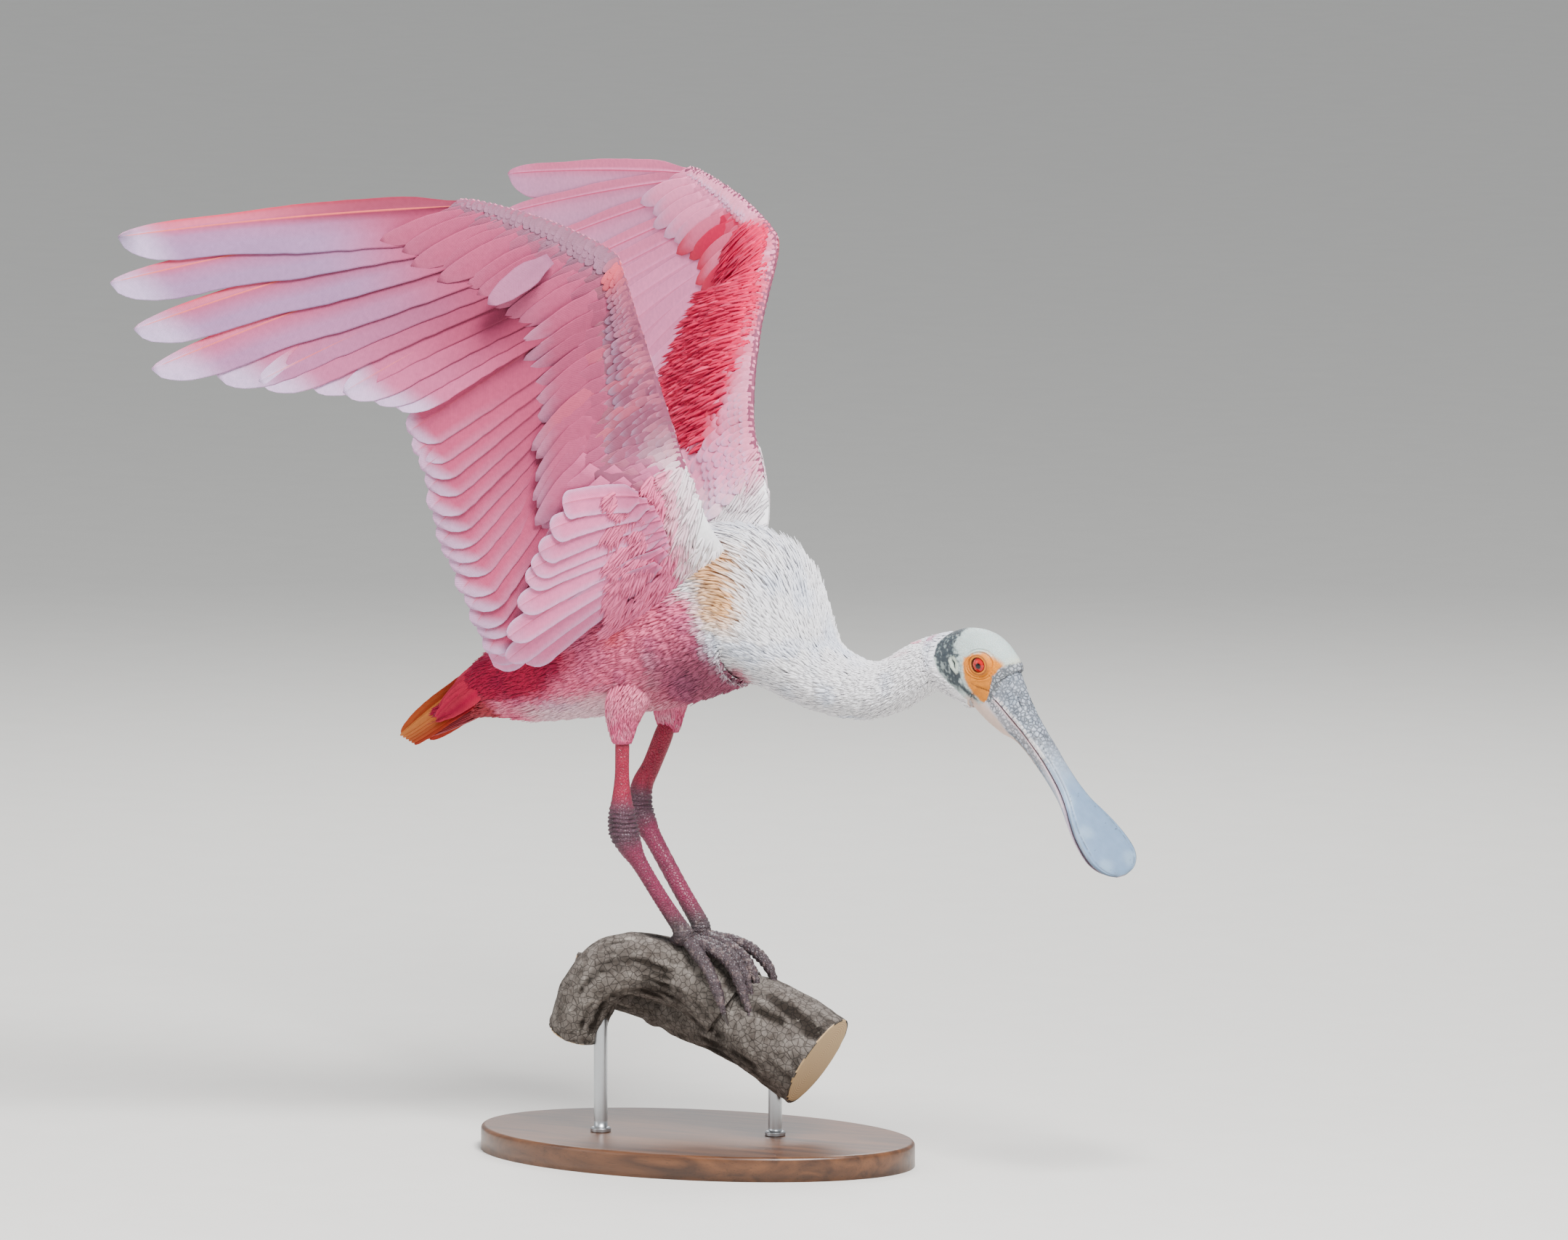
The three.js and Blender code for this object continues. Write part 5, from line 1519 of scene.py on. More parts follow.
def make_flights(side, rng):
    """Primaries, secondaries, axillars and tertials of one wing."""
    batches = []

    def row(kind, count, place, widths, patch, bow, rise, form=FLIGHT, narrow=0, back=0):
        root, tip, edge, above = place
        paint = flight_paint(count, kind, rng)
        batches.append(moved(vanes(root - (tip - root) * back, tip, edge, above, widths, form,
                                   paint, patch, rng, bow, rise, narrow), side))

    number = np.arange(14)
    size = 0.75 + 0.05 * np.minimum(number, 5)
    row("secondary", 14, fan(SECONDARY_TIPS, 14, SECONDARY_SPAN, rng, 0, 1.03, 4),
        (13 * size, 22 * size), strips(14, 0, 3), -2, 1.2)
    number = np.arange(10)
    fingers = number > 5
    row("primary", 10,
        fan(PRIMARY_TIPS, 10, PRIMARY_SPAN, rng, 0, np.where(fingers, 1.01, 0.98), 4),
        (np.where(number == 9, 9, np.where(fingers, 8, 11)),
         np.where(fingers, 28, 18 + number * 1.5)),
        strips(10, 1, 3), 3, 1.5, {**FLIGHT, "round": 0.8}, np.where(fingers, 0.24, 0))
    centre, cell = strips(15, 2, 3)
    row("axillar", 9, fan(AXILLAR_TIPS, 9, (1.1, 2.9), rng, -13, 1.02, 5), (9, 13),
        (centre[:9], cell), 2, 2, back=0.3)
    row("tertial", 6, fan(TERTIAL_TIPS, 6, (1.7, 3.8), rng, 6, 1.01, 12), (10, 14),
        (centre[9:], cell), 0, 3)
    return batches


def flight_directions(u):
    """Direction of the flight feathers beside the place u of the wing."""
    rows = []
    for tips, (start, stop) in ((TERTIAL_TIPS, (1.0, 3.8)), (SECONDARY_TIPS, SECONDARY_SPAN),
                                (PRIMARY_TIPS, PRIMARY_SPAN)):
        share = np.linspace(0, 1, 8)
        place = start + (stop - start) * share
        front, back, _, chord, _, _ = wing_axes(place)
        aim = between(tips, share * (len(tips) - 1))
        rows.append(np.column_stack([place, unit(aim - front - back * chord[:, None])]))
    table = np.concatenate(rows)
    return unit(np.stack([np.interp(u, table[:, 0], table[:, k]) for k in (1, 2, 3)], -1))


# Outline of the carmine band on the upper side of the wing, as it shows from the camera's side:
# distance to the right along the view and height, in mm from the feet.
CARMINE_BAND = [(-6, 512), (-26, 485), (-42, 460), (-54, 434), (-60, 405), (-58, 378), (-40, 366),
                (26, 362), (37, 398), (43, 421), (48, 449), (53, 483), (53, 520), (26, 530)]

# Rows of coverts: share of the way to the bone line, length, half width, spacing, lift.
UPPER_ROWS = [(0.02, 11, 2.6, 4.2, 0.6), (0.08, 13, 3.0, 5, 0.9), (0.15, 15, 3.4, 5.5, 1.2),
              (0.23, 17, 3.9, 6, 1.4), (0.31, 19, 4.3, 6.5, 1.6), (0.4, 22, 4.8, 7, 1.8),
              (0.5, 25, 5.4, 7.5, 2.0), (0.61, 29, 6, 8, 2.2), (0.73, 34, 6.8, 9, 2.6),
              (0.86, 42, 7.6, 10, 3.0), (1.0, 66, 8.6, 11, 3.6)]
UNDER_ROWS = [(0.02, 10, 3.0, 4.4, 0.4), (0.08, 13, 3.6, 5.0, 0.6), (0.16, 16, 4.4, 5.6, 0.8),
              (0.25, 19, 5.2, 6.4, 0.9), (0.36, 23, 6, 7.2, 1.0), (0.48, 28, 7, 8.2, 1.1),
              (0.61, 34, 8, 9.2, 1.2), (0.78, 44, 9, 10.4, 1.4), (1.0, 66, 10, 11.5, 0.9)]


def in_view(points):
    """Distance to the right in the photo's view, and height in it."""
    return points @ VIEW_RIGHT, points @ VIEW_UP


def covert_colour(points, u, share, face, rng):
    """Colours of the root and the tip of each covert."""
    look = settings().plumage
    drift = noise(points, 14, 71) * 0.6 + rng.uniform(-0.4, 0.4, len(u))
    if face > 0:
        right, high = in_view(points)
        band = 1 - ramp(outline_distance(right, high, CARMINE_BAND) + drift * 5, -3, 6)
        c = plain(look.upper_covert, u.shape)
        c = blend(c, "#e695ae", ramp(0.3 - share, 0, 0.2) * 0.6)
        c = blend(c, look.white, (1 - ramp(high, 296, 340)) * 0.8)
        c = blend(c, "#dc5f7b", band * 0.5 + ramp(0.5 - np.abs(high - 372) / 30, 0, 0.5) * 0.2)
        c = blend(c, look.carmine, band * ramp(drift, -0.9, 0.0))
        pale = blend(c, look.lilac, (1 - band) * 0.5)
        return c, blend(pale, "#dd2450", band * 0.9)
    hand = ramp(u, 8.2, 9)
    c = plain(look.under_covert, u.shape)
    c = blend(c, look.under_vane, ramp(share, 0.55, 0.9) * 0.6)
    c = blend(c, "#8a6478", hand * (1 - ramp(share, 0.4, 1.0)) * 0.7)
    c = blend(c, look.axillar, (1 - ramp(u, 2.5, 5)) * 0.6)
    c = blend(c, "#9c5b6c", spot(np.abs(share - 0.6), 0.1, 0.14) * (1 - hand) * 0.6)
    c = blend(c, "#8d5a6c", spot(np.abs(share - 0.4), 0.02, 0.08) * (1 - hand) * 0.6)
    streak = (1 - ramp(share, 0.1, 0.28)) * (1 - ramp(u, 8, 9))
    c = blend(c, "#d8718c", streak * ramp(drift, -0.5, 0.4) * 0.5)
    wrist = spot(np.abs(u - 8.2), 0.3, 0.6) * (1 - ramp(share, 0.15, 0.4))
    c = blend(c, "#e8505c", wrist * 0.6)
    c = blend(c, "#e0607a", ramp(noise(points, 9, 73), 0.45, 0.7) * (u < 7) * 0.35)
    front = (1 - ramp(u, 2.2, 5)) * (1 - ramp(share + drift * 0.1, 0.12, 0.4))
    c = blend(c, look.white, front * 0.85)
    return c, blend(c, look.lilac, np.clip(0.24 - 0.2 * wrist - 0.1 * streak - 0.2 * hand, 0, 1))


def make_coverts(side, face, rows, rng):
    """Rows of coverts that lie over one another on a face of a wing."""
    fine = np.linspace(1.7, FINGERTIP - 0.1, 400)
    batches = []
    for number, (share, size, half, spacing, lift) in enumerate(rows):
        front, back, _, chord, _, _ = wing_axes(fine)
        line = front + back * (chord * share)[:, None]
        run = np.concatenate([[0], np.cumsum(np.linalg.norm(np.diff(line, axis=0), axis=1))])
        count = int(run[-1] / spacing)
        places = (np.arange(count) + 0.5 + 0.5 * (number % 2)) * spacing
        u = np.interp(places + rng.uniform(-0.18, 0.18, count) * spacing, run, fine)
        front, back, above, chord, thick, _ = wing_axes(u)
        own = share + rng.uniform(-0.015, 0.015, count)
        shrink = 1 - 0.3 * ramp(u, 10, 13) * (share < 0.9)
        length_out = size * shrink * rng.uniform(0.93, 1.07, count)
        if share == 1:
            hand = ramp(u, WRIST - 0.3, WRIST + 1)
            length_out = length_out * (1.05 + 0.1 * hand if face > 0 else 1.05)
        mix = 0.3 + 0.55 * share
        ahead = unit(back * (1 - mix) + flight_directions(u) * mix)
        reach = own + length_out * dot(ahead, back)[:, 0] / chord
        level = lookup(WING_PROFILE, own)
        end = lookup([*WING_PROFILE[:5], [1, 0.42], [1.3, 0.24], [2.5, 0.03]], reach)
        base = front + back * (own * chord)[:, None]
        root = base + above * (face * (level * thick - 0.8))[:, None]
        rise = end * thick + lift * 0.5 + rng.uniform(0, 0.2 + 0.6 * share, count)
        tip = base + ahead * length_out[:, None] + above * (face * rise)[:, None]
        edge, normal = spread_axes(root, tip, above * face, 9)
        near, far = (base + ahead * length_out[:, None] * part for part in (0.25, 0.85))
        dark = covert_colour(near, u, own, face, rng)[0]
        pale = covert_colour(far, u, own, face, rng)[1]
        tone = 1 + rng.uniform(-0.06, 0.06, (count, 1))

        def paint(T, S, _, dark=dark * tone, pale=pale * tone):
            mask = ramp(T + 0.12 * np.abs(S), 0.62, 1.02)
            c = blend(dark[:, None, None], pale[:, None, None], mask)
            return c * (0.93 + 0.07 * ramp(T, 0.1, 0.6))[..., None]

        half = half * shrink * rng.uniform(0.92, 1.08, count)
        batches.append(moved(vanes(
            root, tip, edge, normal, (half * 0.9, half * 1.1), COVERT, paint,
            (wing_patch(reach / 3, u, face), PATCH), rng, rise=0.05 * length_out), side))
    if face < 0 < -side:
        batches.append(moved(loose_covert(rng), side))
    return batches


def loose_covert(rng):
    """The one covert near the right wrist that hangs free."""
    def paint(T, S, _):
        shade = 0.8 + 0.25 * ramp(T + 0.3 * np.abs(S), 0, 1)
        return np.array(linear("#a05f80")) * shade[None, ..., None]

    root, tip, across, above = np.array([
        [[-37.0, 154, 507]], [[-72.0, 184, 475]], [[-0.6, 0, 0.8]], [[-0.4, 0.9, 0]]])
    return vanes(root, tip, across, above, (10, 10), COVERT, paint, (np.array([[0.2, 0.9]]), PATCH),
                 rng, rise=2.0)


def make_plumes(side, rng):
    """Stringy carmine feathers of the band on the upper side of the wing."""
    count = 6000
    u = rng.uniform(3.2, 9.8, count)
    share = rng.uniform(0.04, 2.05, count)
    front, back, above, chord, thick, _ = wing_axes(u)
    base = front + back * (share * chord)[:, None]
    keep = outline_distance(*in_view(base), CARMINE_BAND) + rng.uniform(-4, 4, count) < 0
    base, u, share, back, above, thick = (v[keep] for v in (base, u, share, back, above, thick))
    n = len(u)
    level = thick * np.interp(share, [0, 0.16, 0.45, 0.8, 1, 1.3, 2.4],
                              [0, 0.27, 0.42, 0.5, 0.5, 0.42, 0.2])
    ahead = unit(back * 0.75 + flight_directions(u) * 0.5 + rng.normal(0, 0.05, (n, 3)))
    root = base + above * level[:, None]
    tip = (base + ahead * rng.uniform(18, 34, n)[:, None]
           + above * (level + rng.uniform(0.6, 3, n))[:, None])
    # Painted highlights: a few plumes lightened to bright pink.
    c = blend(plain(settings().plumage.carmine, u.shape), "#ff4a7c", rng.random(n) ** 4 * 0.7)
    c = c * rng.uniform(0.75, 1.15, (n, 1))
    half = rng.uniform(1.2, 2.0, n)
    return moved(vanes(
        root, tip, np.cross(ahead, above), above, (half, half), PLUME,
        lambda T, S, _: np.broadcast_to(c[:, None, None], (n, *T.shape, 3)).copy(),
        (wing_patch(0.35 * share, u, 1), PATCH), rng, rise=1.5), side)


def coat_places(start, stop, spacing, rng):
    """Staggered places of tufts over the body: u and turn."""
    fine = np.linspace(start, stop, 1500)
    row = between(BODY, fine)
    step = np.linalg.norm(np.diff(row[:, :3], axis=0), axis=1)
    gap = lookup(spacing, fine)
    run = np.concatenate([[0], np.cumsum(step / (gap[1:] * 0.9))])
    us, turns = [], []
    for k, u in enumerate(np.interp(np.arange(int(run[-1])) + 0.5, run, fine)):
        size = between(BODY, u)
        girth = math.pi * (size[3] + (size[4] + size[5]) / 2)
        count = int(girth / np.interp(u, fine, gap))
        turns.append((np.arange(count) + 0.5 * (k % 2) + rng.uniform(-0.3, 0.3, count))
                     / count * 2 * math.pi)
        us.append(np.full(count, u) + rng.uniform(-0.3, 0.3, count) * (fine[1] - fine[0]) * 8)
    return np.clip(np.concatenate(us), start, stop), np.concatenate(turns)


def body_run():
    """Places u along the body's middle, and their lengths along it in mm."""
    fine = np.linspace(0, FOREHEAD, 1200)
    middle = between(BODY, fine)[:, :3]
    return fine, np.concatenate([[0], np.cumsum(np.linalg.norm(np.diff(middle, axis=0), axis=1))])


def tufts(root, tip, above, half, count, fan_angle, tint, patch, rng, rise):
    """Each tuft is a few narrow blades that fan out from one root."""
    batches = []
    along = tip - root
    across = unit(np.cross(along, above))
    n = len(root)
    for angle in np.linspace(-fan_angle, fan_angle, count):
        own = np.radians(angle + rng.uniform(-3, 3, n))[:, None]
        span = rng.uniform(0.8, 1.06, n)[:, None] * (1 - 0.12 * abs(angle) / fan_angle)
        aim = (along * np.cos(own)
               + across * np.sin(own) * np.linalg.norm(along, axis=-1)[:, None]) * span
        start = root + across * (half * 0.05 * angle)[:, None]
        lean = unit(above + across * 0.35 * math.copysign(min(1, abs(angle) / 8), angle))
        side = np.cross(aim, lean)
        own_tint = tint * (1 + rng.uniform(-0.075, 0.055, (n, 1)))

        def paint(T, *_, c=own_tint):
            return c[:, None, None] * (0.88 + 0.12 * ramp(T, 0.1, 0.7))[..., None]

        batches.append(vanes(start, start + aim, side, lean, (half, half), TUFT, paint,
                             (patch, PATCH), rng, rise=rise))
    return batches


def make_body_coat(start, stop, spacing, lengths, widths, count, seed, surface):
    """Tufts that point to the tail, from the skin to the outline of the solids."""
    rng = np.random.default_rng(SEED + seed)
    u, turn = coat_places(start, stop, spacing, rng)
    depth = lookup(COAT_DEPTH, u)
    low = body_point(u, turn, depth)
    gaps = np.array([surface.find_nearest(point)[3] for point in on_frame(low)]) * 1000
    keep = (gaps < 1.4) & ~bare_head(low)
    u, turn, depth = u[keep], turn[keep], depth[keep]
    fine, run = body_run()
    size = lookup(lengths, u) * rng.uniform(0.88, 1.12, len(u))
    size = size * (1 - 0.45 * ramp(in_head(body_point(u, turn))[:, 0], -36, -16))
    end = np.interp(u, fine, run) - size
    u_tip = np.interp(end, run, fine)
    turn_tip = turn + rng.normal(0, 0.03, len(u))
    root = body_point(u, turn, depth + 0.3)
    rough = np.clip(depth, 0.8, 3)
    tip = body_point(u_tip, turn_tip, rng.uniform(-0.15, 0.3, len(u)) * rough)
    _, back, _, _ = body_axes(np.zeros(len(u)))
    tip = tip - back * np.maximum(-end, 0)[:, None]
    middle, along, _, _ = body_axes(u)
    above = unit(root - middle[:, :3] - along * dot(root - middle[:, :3], along))
    tint = body_colour(u, turn, root)
    patch = np.stack([(turn / (2 * math.pi)) % 1, u / len(BODY) * 0.6], -1)
    half = lookup(widths, u) * rng.uniform(0.85, 1.15, len(u))
    return tufts(root, tip, above, half, count, 10, tint, patch, rng, 0.035 * size)


def make_thigh_coat(side, rng, surface):
    """Tufts down the thigh, over the top of the bare leg."""
    look = settings().plumage
    rows = np.array(thigh_rows(side, 0))
    us, turns = [], []
    for k, u in enumerate(np.arange(0.25, 3.75, 0.16)):
        radius = between(rows, u)[3]
        count = max(10, int(2 * math.pi * radius / 4.2))
        us.append(np.full(count, u) + rng.uniform(-0.05, 0.05, count))
        turns.append((np.arange(count) + 0.5 * (k % 2) + rng.uniform(-0.3, 0.3, count))
                     / count * 2 * math.pi)
    u, turn = np.concatenate(us), np.concatenate(turns)
    shape = limb_shape(rows)
    last = len(rows) - 1
    root = limb_shape(thigh_rows(side, 3.2))(u / last, turn)
    gaps = np.array([surface.find_nearest(point)[3] for point in on_frame(root)]) * 1000
    keep = gaps < 2.2
    u, turn, root = u[keep], turn[keep], root[keep]
    end = np.minimum(u + 0.78 + 0.25 * ramp(u, 1.5, 3.5), last)
    tip = shape(end / last, turn + rng.normal(0, 0.08, len(u)))
    middle = between(rows, u)[:, :3]
    above = unit((root - middle) * [1, 1, 0.2])
    drift = noise(root, 9, 81)
    tint = blend(plain(look.thigh, u.shape), look.white, ramp(drift, 0, 0.8) * 0.2)
    tint = blend(tint, "#cf6478", ramp(-drift, 0.1, 0.8) * 0.4)
    flank = body_colour(*body_place(root), root) * 0.4 + np.array(look.body) * 0.6
    high = (1 - ramp(u, 1.2, 2.6))[:, None]
    tint = tint * (1 - high) + flank * high
    half = rng.uniform(1.2, 1.8, len(u)) * (1 - 0.4 * ramp(u, 2, 3.8))
    return tufts(root, tip, above, half, 5, 13, tint, thigh_patch(root, side), rng, 0.9)


def make_shoulder_coat(side, rng):
    """Tufts over the root of a wing, white in front and above, pink behind."""
    look = settings().plumage
    count = 760
    u = 0.05 + 3.1 * rng.random(count) ** 1.15
    share = rng.uniform(0, 1.1, count)
    face = rng.choice([-1.0, 1.0], count)
    keep = (face > 0) | (share < 0.45) | (rng.random(count) < 0.45)
    u, share, face = u[keep], share[keep], face[keep]
    count = len(u)
    _, _, above, chord, _, _ = wing_axes(u)
    root = wing_point(u, share, face, 0.9)
    end = share + rng.uniform(13, 19, count) / chord
    tip = wing_point(np.maximum(u - rng.uniform(0.15, 0.5, count), 0), end, face,
                     rng.uniform(-1.8, 0.3, count))
    drift = noise(root, 14, 83) * 0.5
    front = 1 - ramp(share + 0.25 * drift + 0.06 * u, 0.1, 0.5)
    white = np.where(face < 0, front, 1 - 0.9 * ramp(u + drift, 1.4, 3.2))
    tint = blend(plain(look.body, u.shape), look.axillar, 0.35 + 0.2 * drift)
    tint = blend(tint, look.white, white * 0.95)
    patch = wing_patch((root[:, 0] + 110) / 160, u, side)
    half = rng.uniform(1.3, 2.0, count)
    return [moved(batch, side) for batch in
            tufts(root, tip, above * face[:, None], half, 5, 10, tint, patch, rng, 0.8)]


def make_tail(rng):
    """Tail feathers with their coverts above and below."""
    look = settings().plumage
    batches = []

    def paint_with(base, edge, deep, count):
        tone = 1 + rng.uniform(-0.08, 0.08, (count, 1, 1, 1))

        def paint(T, S, face):
            c = plain(base, (count, *T.shape))
            c = blend(c, deep, (1 - ramp(T, 0.15, 0.6)) * 0.7)
            c = blend(c, edge, ramp(np.abs(S), 0.5, 1) * 0.4)
            # Painted shade: the lower face of each vane darkened with the tail_shade red-brown.
            return blend(c, look.tail_shade, (face < 0.5) * 0.6) * tone
        return paint

    for side in (-1, 1):
        i = np.arange(6)
        out = i + 0.5
        lower = i + (0.5 if side < 0 else 0)
        root = np.stack([np.full(6, -172.0), side * 2.4 * out, 185 - 3.6 * lower], -1)
        tip = np.stack([-249 + 3.6 * out, side * 2.2 * out, 131 - 0.8 * lower], -1)
        above = np.broadcast_to([-0.3, side * 0.8, 0.6], root.shape)
        edge, normal = spread_axes(root, tip, above, 5)
        warm = np.linspace(np.array(look.tail), np.array(linear("#a83418")), 6)[:, None, None]
        batches.append(vanes(root, tip, edge, normal, (8, 10), {**FLIGHT, "rings": 22, "round": 0.5},
                             paint_with(warm, "#c2421f", look.carmine, 6),
                             strips(6, 0 if side < 0 else 1, 3), rng, rise=2))
        for lift, layers, shade in ((0, 34, np.array(look.carmine) * 0.5),
                                    (1, 22, np.array(look.carmine) * 0.7)):
            spread = rng.random(layers)
            back = rng.random(layers)
            root = np.stack([-160 - 16 * back, side * (4 + 15 * spread ** 0.8),
                             196 - 24 * spread ** 1.4 - 6 * back], -1)
            size = rng.uniform(22, 46, layers)
            way = unit(np.stack([np.full(layers, -0.78), side * 0.05 * spread,
                                 np.full(layers, -0.62)], -1))
            tip = root + way * size[:, None] + np.array([0, 0, 1.5])
            above = np.stack([0 * spread, side * (0.3 + spread), 0.9 - 0.8 * spread], -1)
            across = unit(np.cross(way, above))
            batches.append(vanes(root, tip, across, above, (5.6, 5.6), COVERT,
                                 paint_with(shade, "#e8455a", look.carmine, layers),
                                 (np.stack([0.1 + 0.3 * spread + 0.02 * lift, 0.8 + 0.1 * back], -1),
                                  PATCH), rng, rise=1.6))
        # Under tail coverts, in the tail_shade red-brown as painted shade.
        layers = 22
        spread, back = rng.random(layers), rng.random(layers)
        root = np.stack([-170 - 14 * back, side * 17 * spread, 154 + 10 * spread - 6 * back], -1)
        way = unit(np.stack([np.full(layers, -0.9), side * 0.06 * spread,
                             np.full(layers, -0.42)], -1))
        tip = root + way * rng.uniform(28, 50, layers)[:, None]
        across = unit(np.cross(way, [0, 0, 1]))
        batches.append(vanes(root, tip, across, -np.cross(across, way), (4.6, 4.6), COVERT,
                             paint_with(look.tail_shade, "#c2506a", look.tail_shade, layers),
                             (np.stack([0.6 + 0.3 * spread, 0.8 + 0.1 * back], -1), PATCH),
                             rng, rise=1.2))
    return batches


# Perch and stand.

def bark_shape(rows, seed, knots):
    """Round branch with lengthwise ridges, knots and flat cut ends."""
    table = np.asarray(rows, float)
    last = len(table) - 1

    def shape(share, turn):
        inside = np.clip((share - 0.04) / 0.92, 0, 1)
        flat = np.clip(np.minimum(share, 1 - share) / 0.04, 0, 1)
        place = limb_shape(rows)(inside, turn)
        u = inside * last
        middle = between(table, u)[:, :3]
        out = unit(place - middle)
        cell = np.stack([np.cos(turn) * 16, np.sin(turn) * 16, inside * 60], -1)
        ridge = 1 - ridged(cell * [1, 1, 0.45], 4.2, seed)
        fine = noise(cell, 1.8, seed + 1)
        push = 2.1 * (ridge - 0.6) + 0.5 * fine + 1.6 * noise(cell, 13, seed + 2)
        for where, at_turn, size in knots:
            away = np.hypot((inside - where) * 160, np.angle(np.exp(1j * (turn - at_turn))) * 22)
            push += size * (spot(away, 3, 8) - 0.75 * spot(away, 1, 5))
        return middle + (place - middle) * flat[:, None] + out * (push * (flat > 0.99))[:, None]

    return shape


def bark_material():
    """Weathered grey bark: fissured, with brown depths and pale specks of lichen."""
    look = settings().stand
    made, tree, place, surface = material("weathered_bark", {
        "Roughness": 0.9, "Specular IOR Level": 0.2})
    # Plates of about 9 mm, fissures about 5 mm apart, grain of about 0.6 mm.
    plates = add(tree, "TexNoise", {"Scale": 110, "Detail": 6, "Roughness": 0.65, "Vector": place})
    fissures = add(tree, "TexVoronoi", {
        "feature": "DISTANCE_TO_EDGE", "Scale": 210, "Vector": place})
    grain = add(tree, "TexNoise", {"Scale": 1600, "Detail": 5, "Vector": place})
    relief = add(tree, "Attribute", {"attribute_name": "Relief"}).outputs["Fac"]
    tone = add(tree, "MapRange", {"From Min": 0.35, "From Max": 0.65, "Value": plates})
    deep = add(tree, "MapRange", {
        "From Min": 0.25, "From Max": 0.6, "To Min": 1, "To Max": 0, "Value": relief})
    crack = add(tree, "MapRange", {"From Max": 0.09, "To Min": 0.45, "Value": fissures})
    lichen = add(tree, "MapRange", {
        "From Min": 0.62, "From Max": 0.7, "To Max": 0.5, "Value": plates})
    base = add(tree, "Mix", {**OVER, 0: tone, 6: linear("#463f3a"), 7: look.bark})
    base = add(tree, "Mix", {**OVER, 0: deep, 6: base, 7: look.bark_dark})
    base = add(tree, "Mix", {**TIMES, 6: base, 7: crack})
    base = add(tree, "Mix", {**OVER, 0: lichen, 6: base, 7: linear("#9a948a")})
    height = add(tree, "Math", {"operation": "MULTIPLY_ADD", 0: grain, 1: 0.5, 2: crack})
    bump = add(tree, "Bump", {"Strength": 0.8, "Distance": 0.0009, "Height": height})
    feed(surface, {"Base Color": base, "Normal": bump})
    return made


def cut_material():
    """Sawn end of the branch: pale wood with growth rings."""
    made, tree, place, surface = material("sawn_wood", {
        "Roughness": 0.75, "Specular IOR Level": 0.25})
    ring = add(tree, "Attribute", {"attribute_name": "Ring"}).outputs["Fac"]
    wobble = add(tree, "TexNoise", {"Scale": 120, "Detail": 3, "Vector": place})
    # Growth rings 1.6 mm apart.
    bent = add(tree, "Math", {"operation": "MULTIPLY", 0: wobble, 1: 5})
    count = add(tree, "Math", {"operation": "MULTIPLY_ADD", 0: ring, 1: 3.93, 2: bent})
    wave = add(tree, "Math", {"operation": "SINE", 0: count})
    tone = add(tree, "MapRange", {"From Min": -1, "From Max": 1, "Value": wave})
    base = add(tree, "Mix", {**OVER, 0: tone, 6: linear("#a98a63"), 7: linear("#c9ad84")})
    feed(surface, {"Base Color": base})
    return made


def perch_fields(points):
    """Relief over the branch, distance from its middle, and which points lie on a cut end."""
    relief, ring = np.zeros((2, len(points)))
    ends = np.zeros(len(points), bool)
    best = np.full(len(points), 1e9)
    for rows in (MAIN, ARCH):
        table = np.array(rows, float)
        line = between(table, np.linspace(0, len(table) - 1, 220))
        for start in range(0, len(points), CHUNK):
            part = slice(start, start + CHUNK)
            gap = np.linalg.norm(points[part, None] - line[None, :, :3], axis=-1)
            near = gap.argmin(1)
            distance = gap[np.arange(len(near)), near]
            proud = distance - line[near, 3]
            better = np.abs(proud) < best[part]
            ring[part] = np.where(better, distance, ring[part])
            relief[part] = np.where(better, proud / 3 + 0.5, relief[part])
            best[part] = np.where(better, np.abs(proud), best[part])
        # The side branch's second end is inside the thick branch.
        pairs = ((table[0], table[1]), (table[-1], table[-2]))
        for row, nearby in pairs if rows is MAIN else pairs[:1]:
            off = np.abs(dot(points - row[:3], unit(row[:3] - nearby[:3]))[:, 0])
            away = np.linalg.norm(points - row[:3], axis=1)
            close = (off < 0.8) & (away < row[3] + 0.5)
            ends |= close
            ring[close] = away[close]
    return relief, ring, ends


def make_perch():
    """Cut length of branch with a side branch, fused in one."""
    main, arch = (object_of(tube(bark_shape(rows, seed, knots), 92, 180), name)
                  for name, rows, seed, knots in (
                      ("main", MAIN, 91, [(0.3, 4.2, 4), (0.66, 5.2, 3.2), (0.5, 1.2, 2.6)]),
                      ("arch", ARCH, 95, [(0.35, 4.4, 3.0), (0.62, 2.6, 2.4)])))
    perch = fuse(main, [arch])
    perch.name = "perch_branch"
    mesh = perch.data
    relief, ring, ends = perch_fields(vertex_points(mesh))
    set_number(mesh, "Relief", relief)
    set_number(mesh, "Ring", ring)
    mesh.materials.append(bark_material())
    mesh.materials.append(cut_material())
    cut = np.minimum.reduceat(ends[corner_vertices(mesh)], read(mesh.polygons, "loop_start"))
    mesh.polygons.foreach_set("material_index", cut.astype(np.int32))
    mesh.shade_smooth()
    finish_piece(perch, ["stand_perch"])


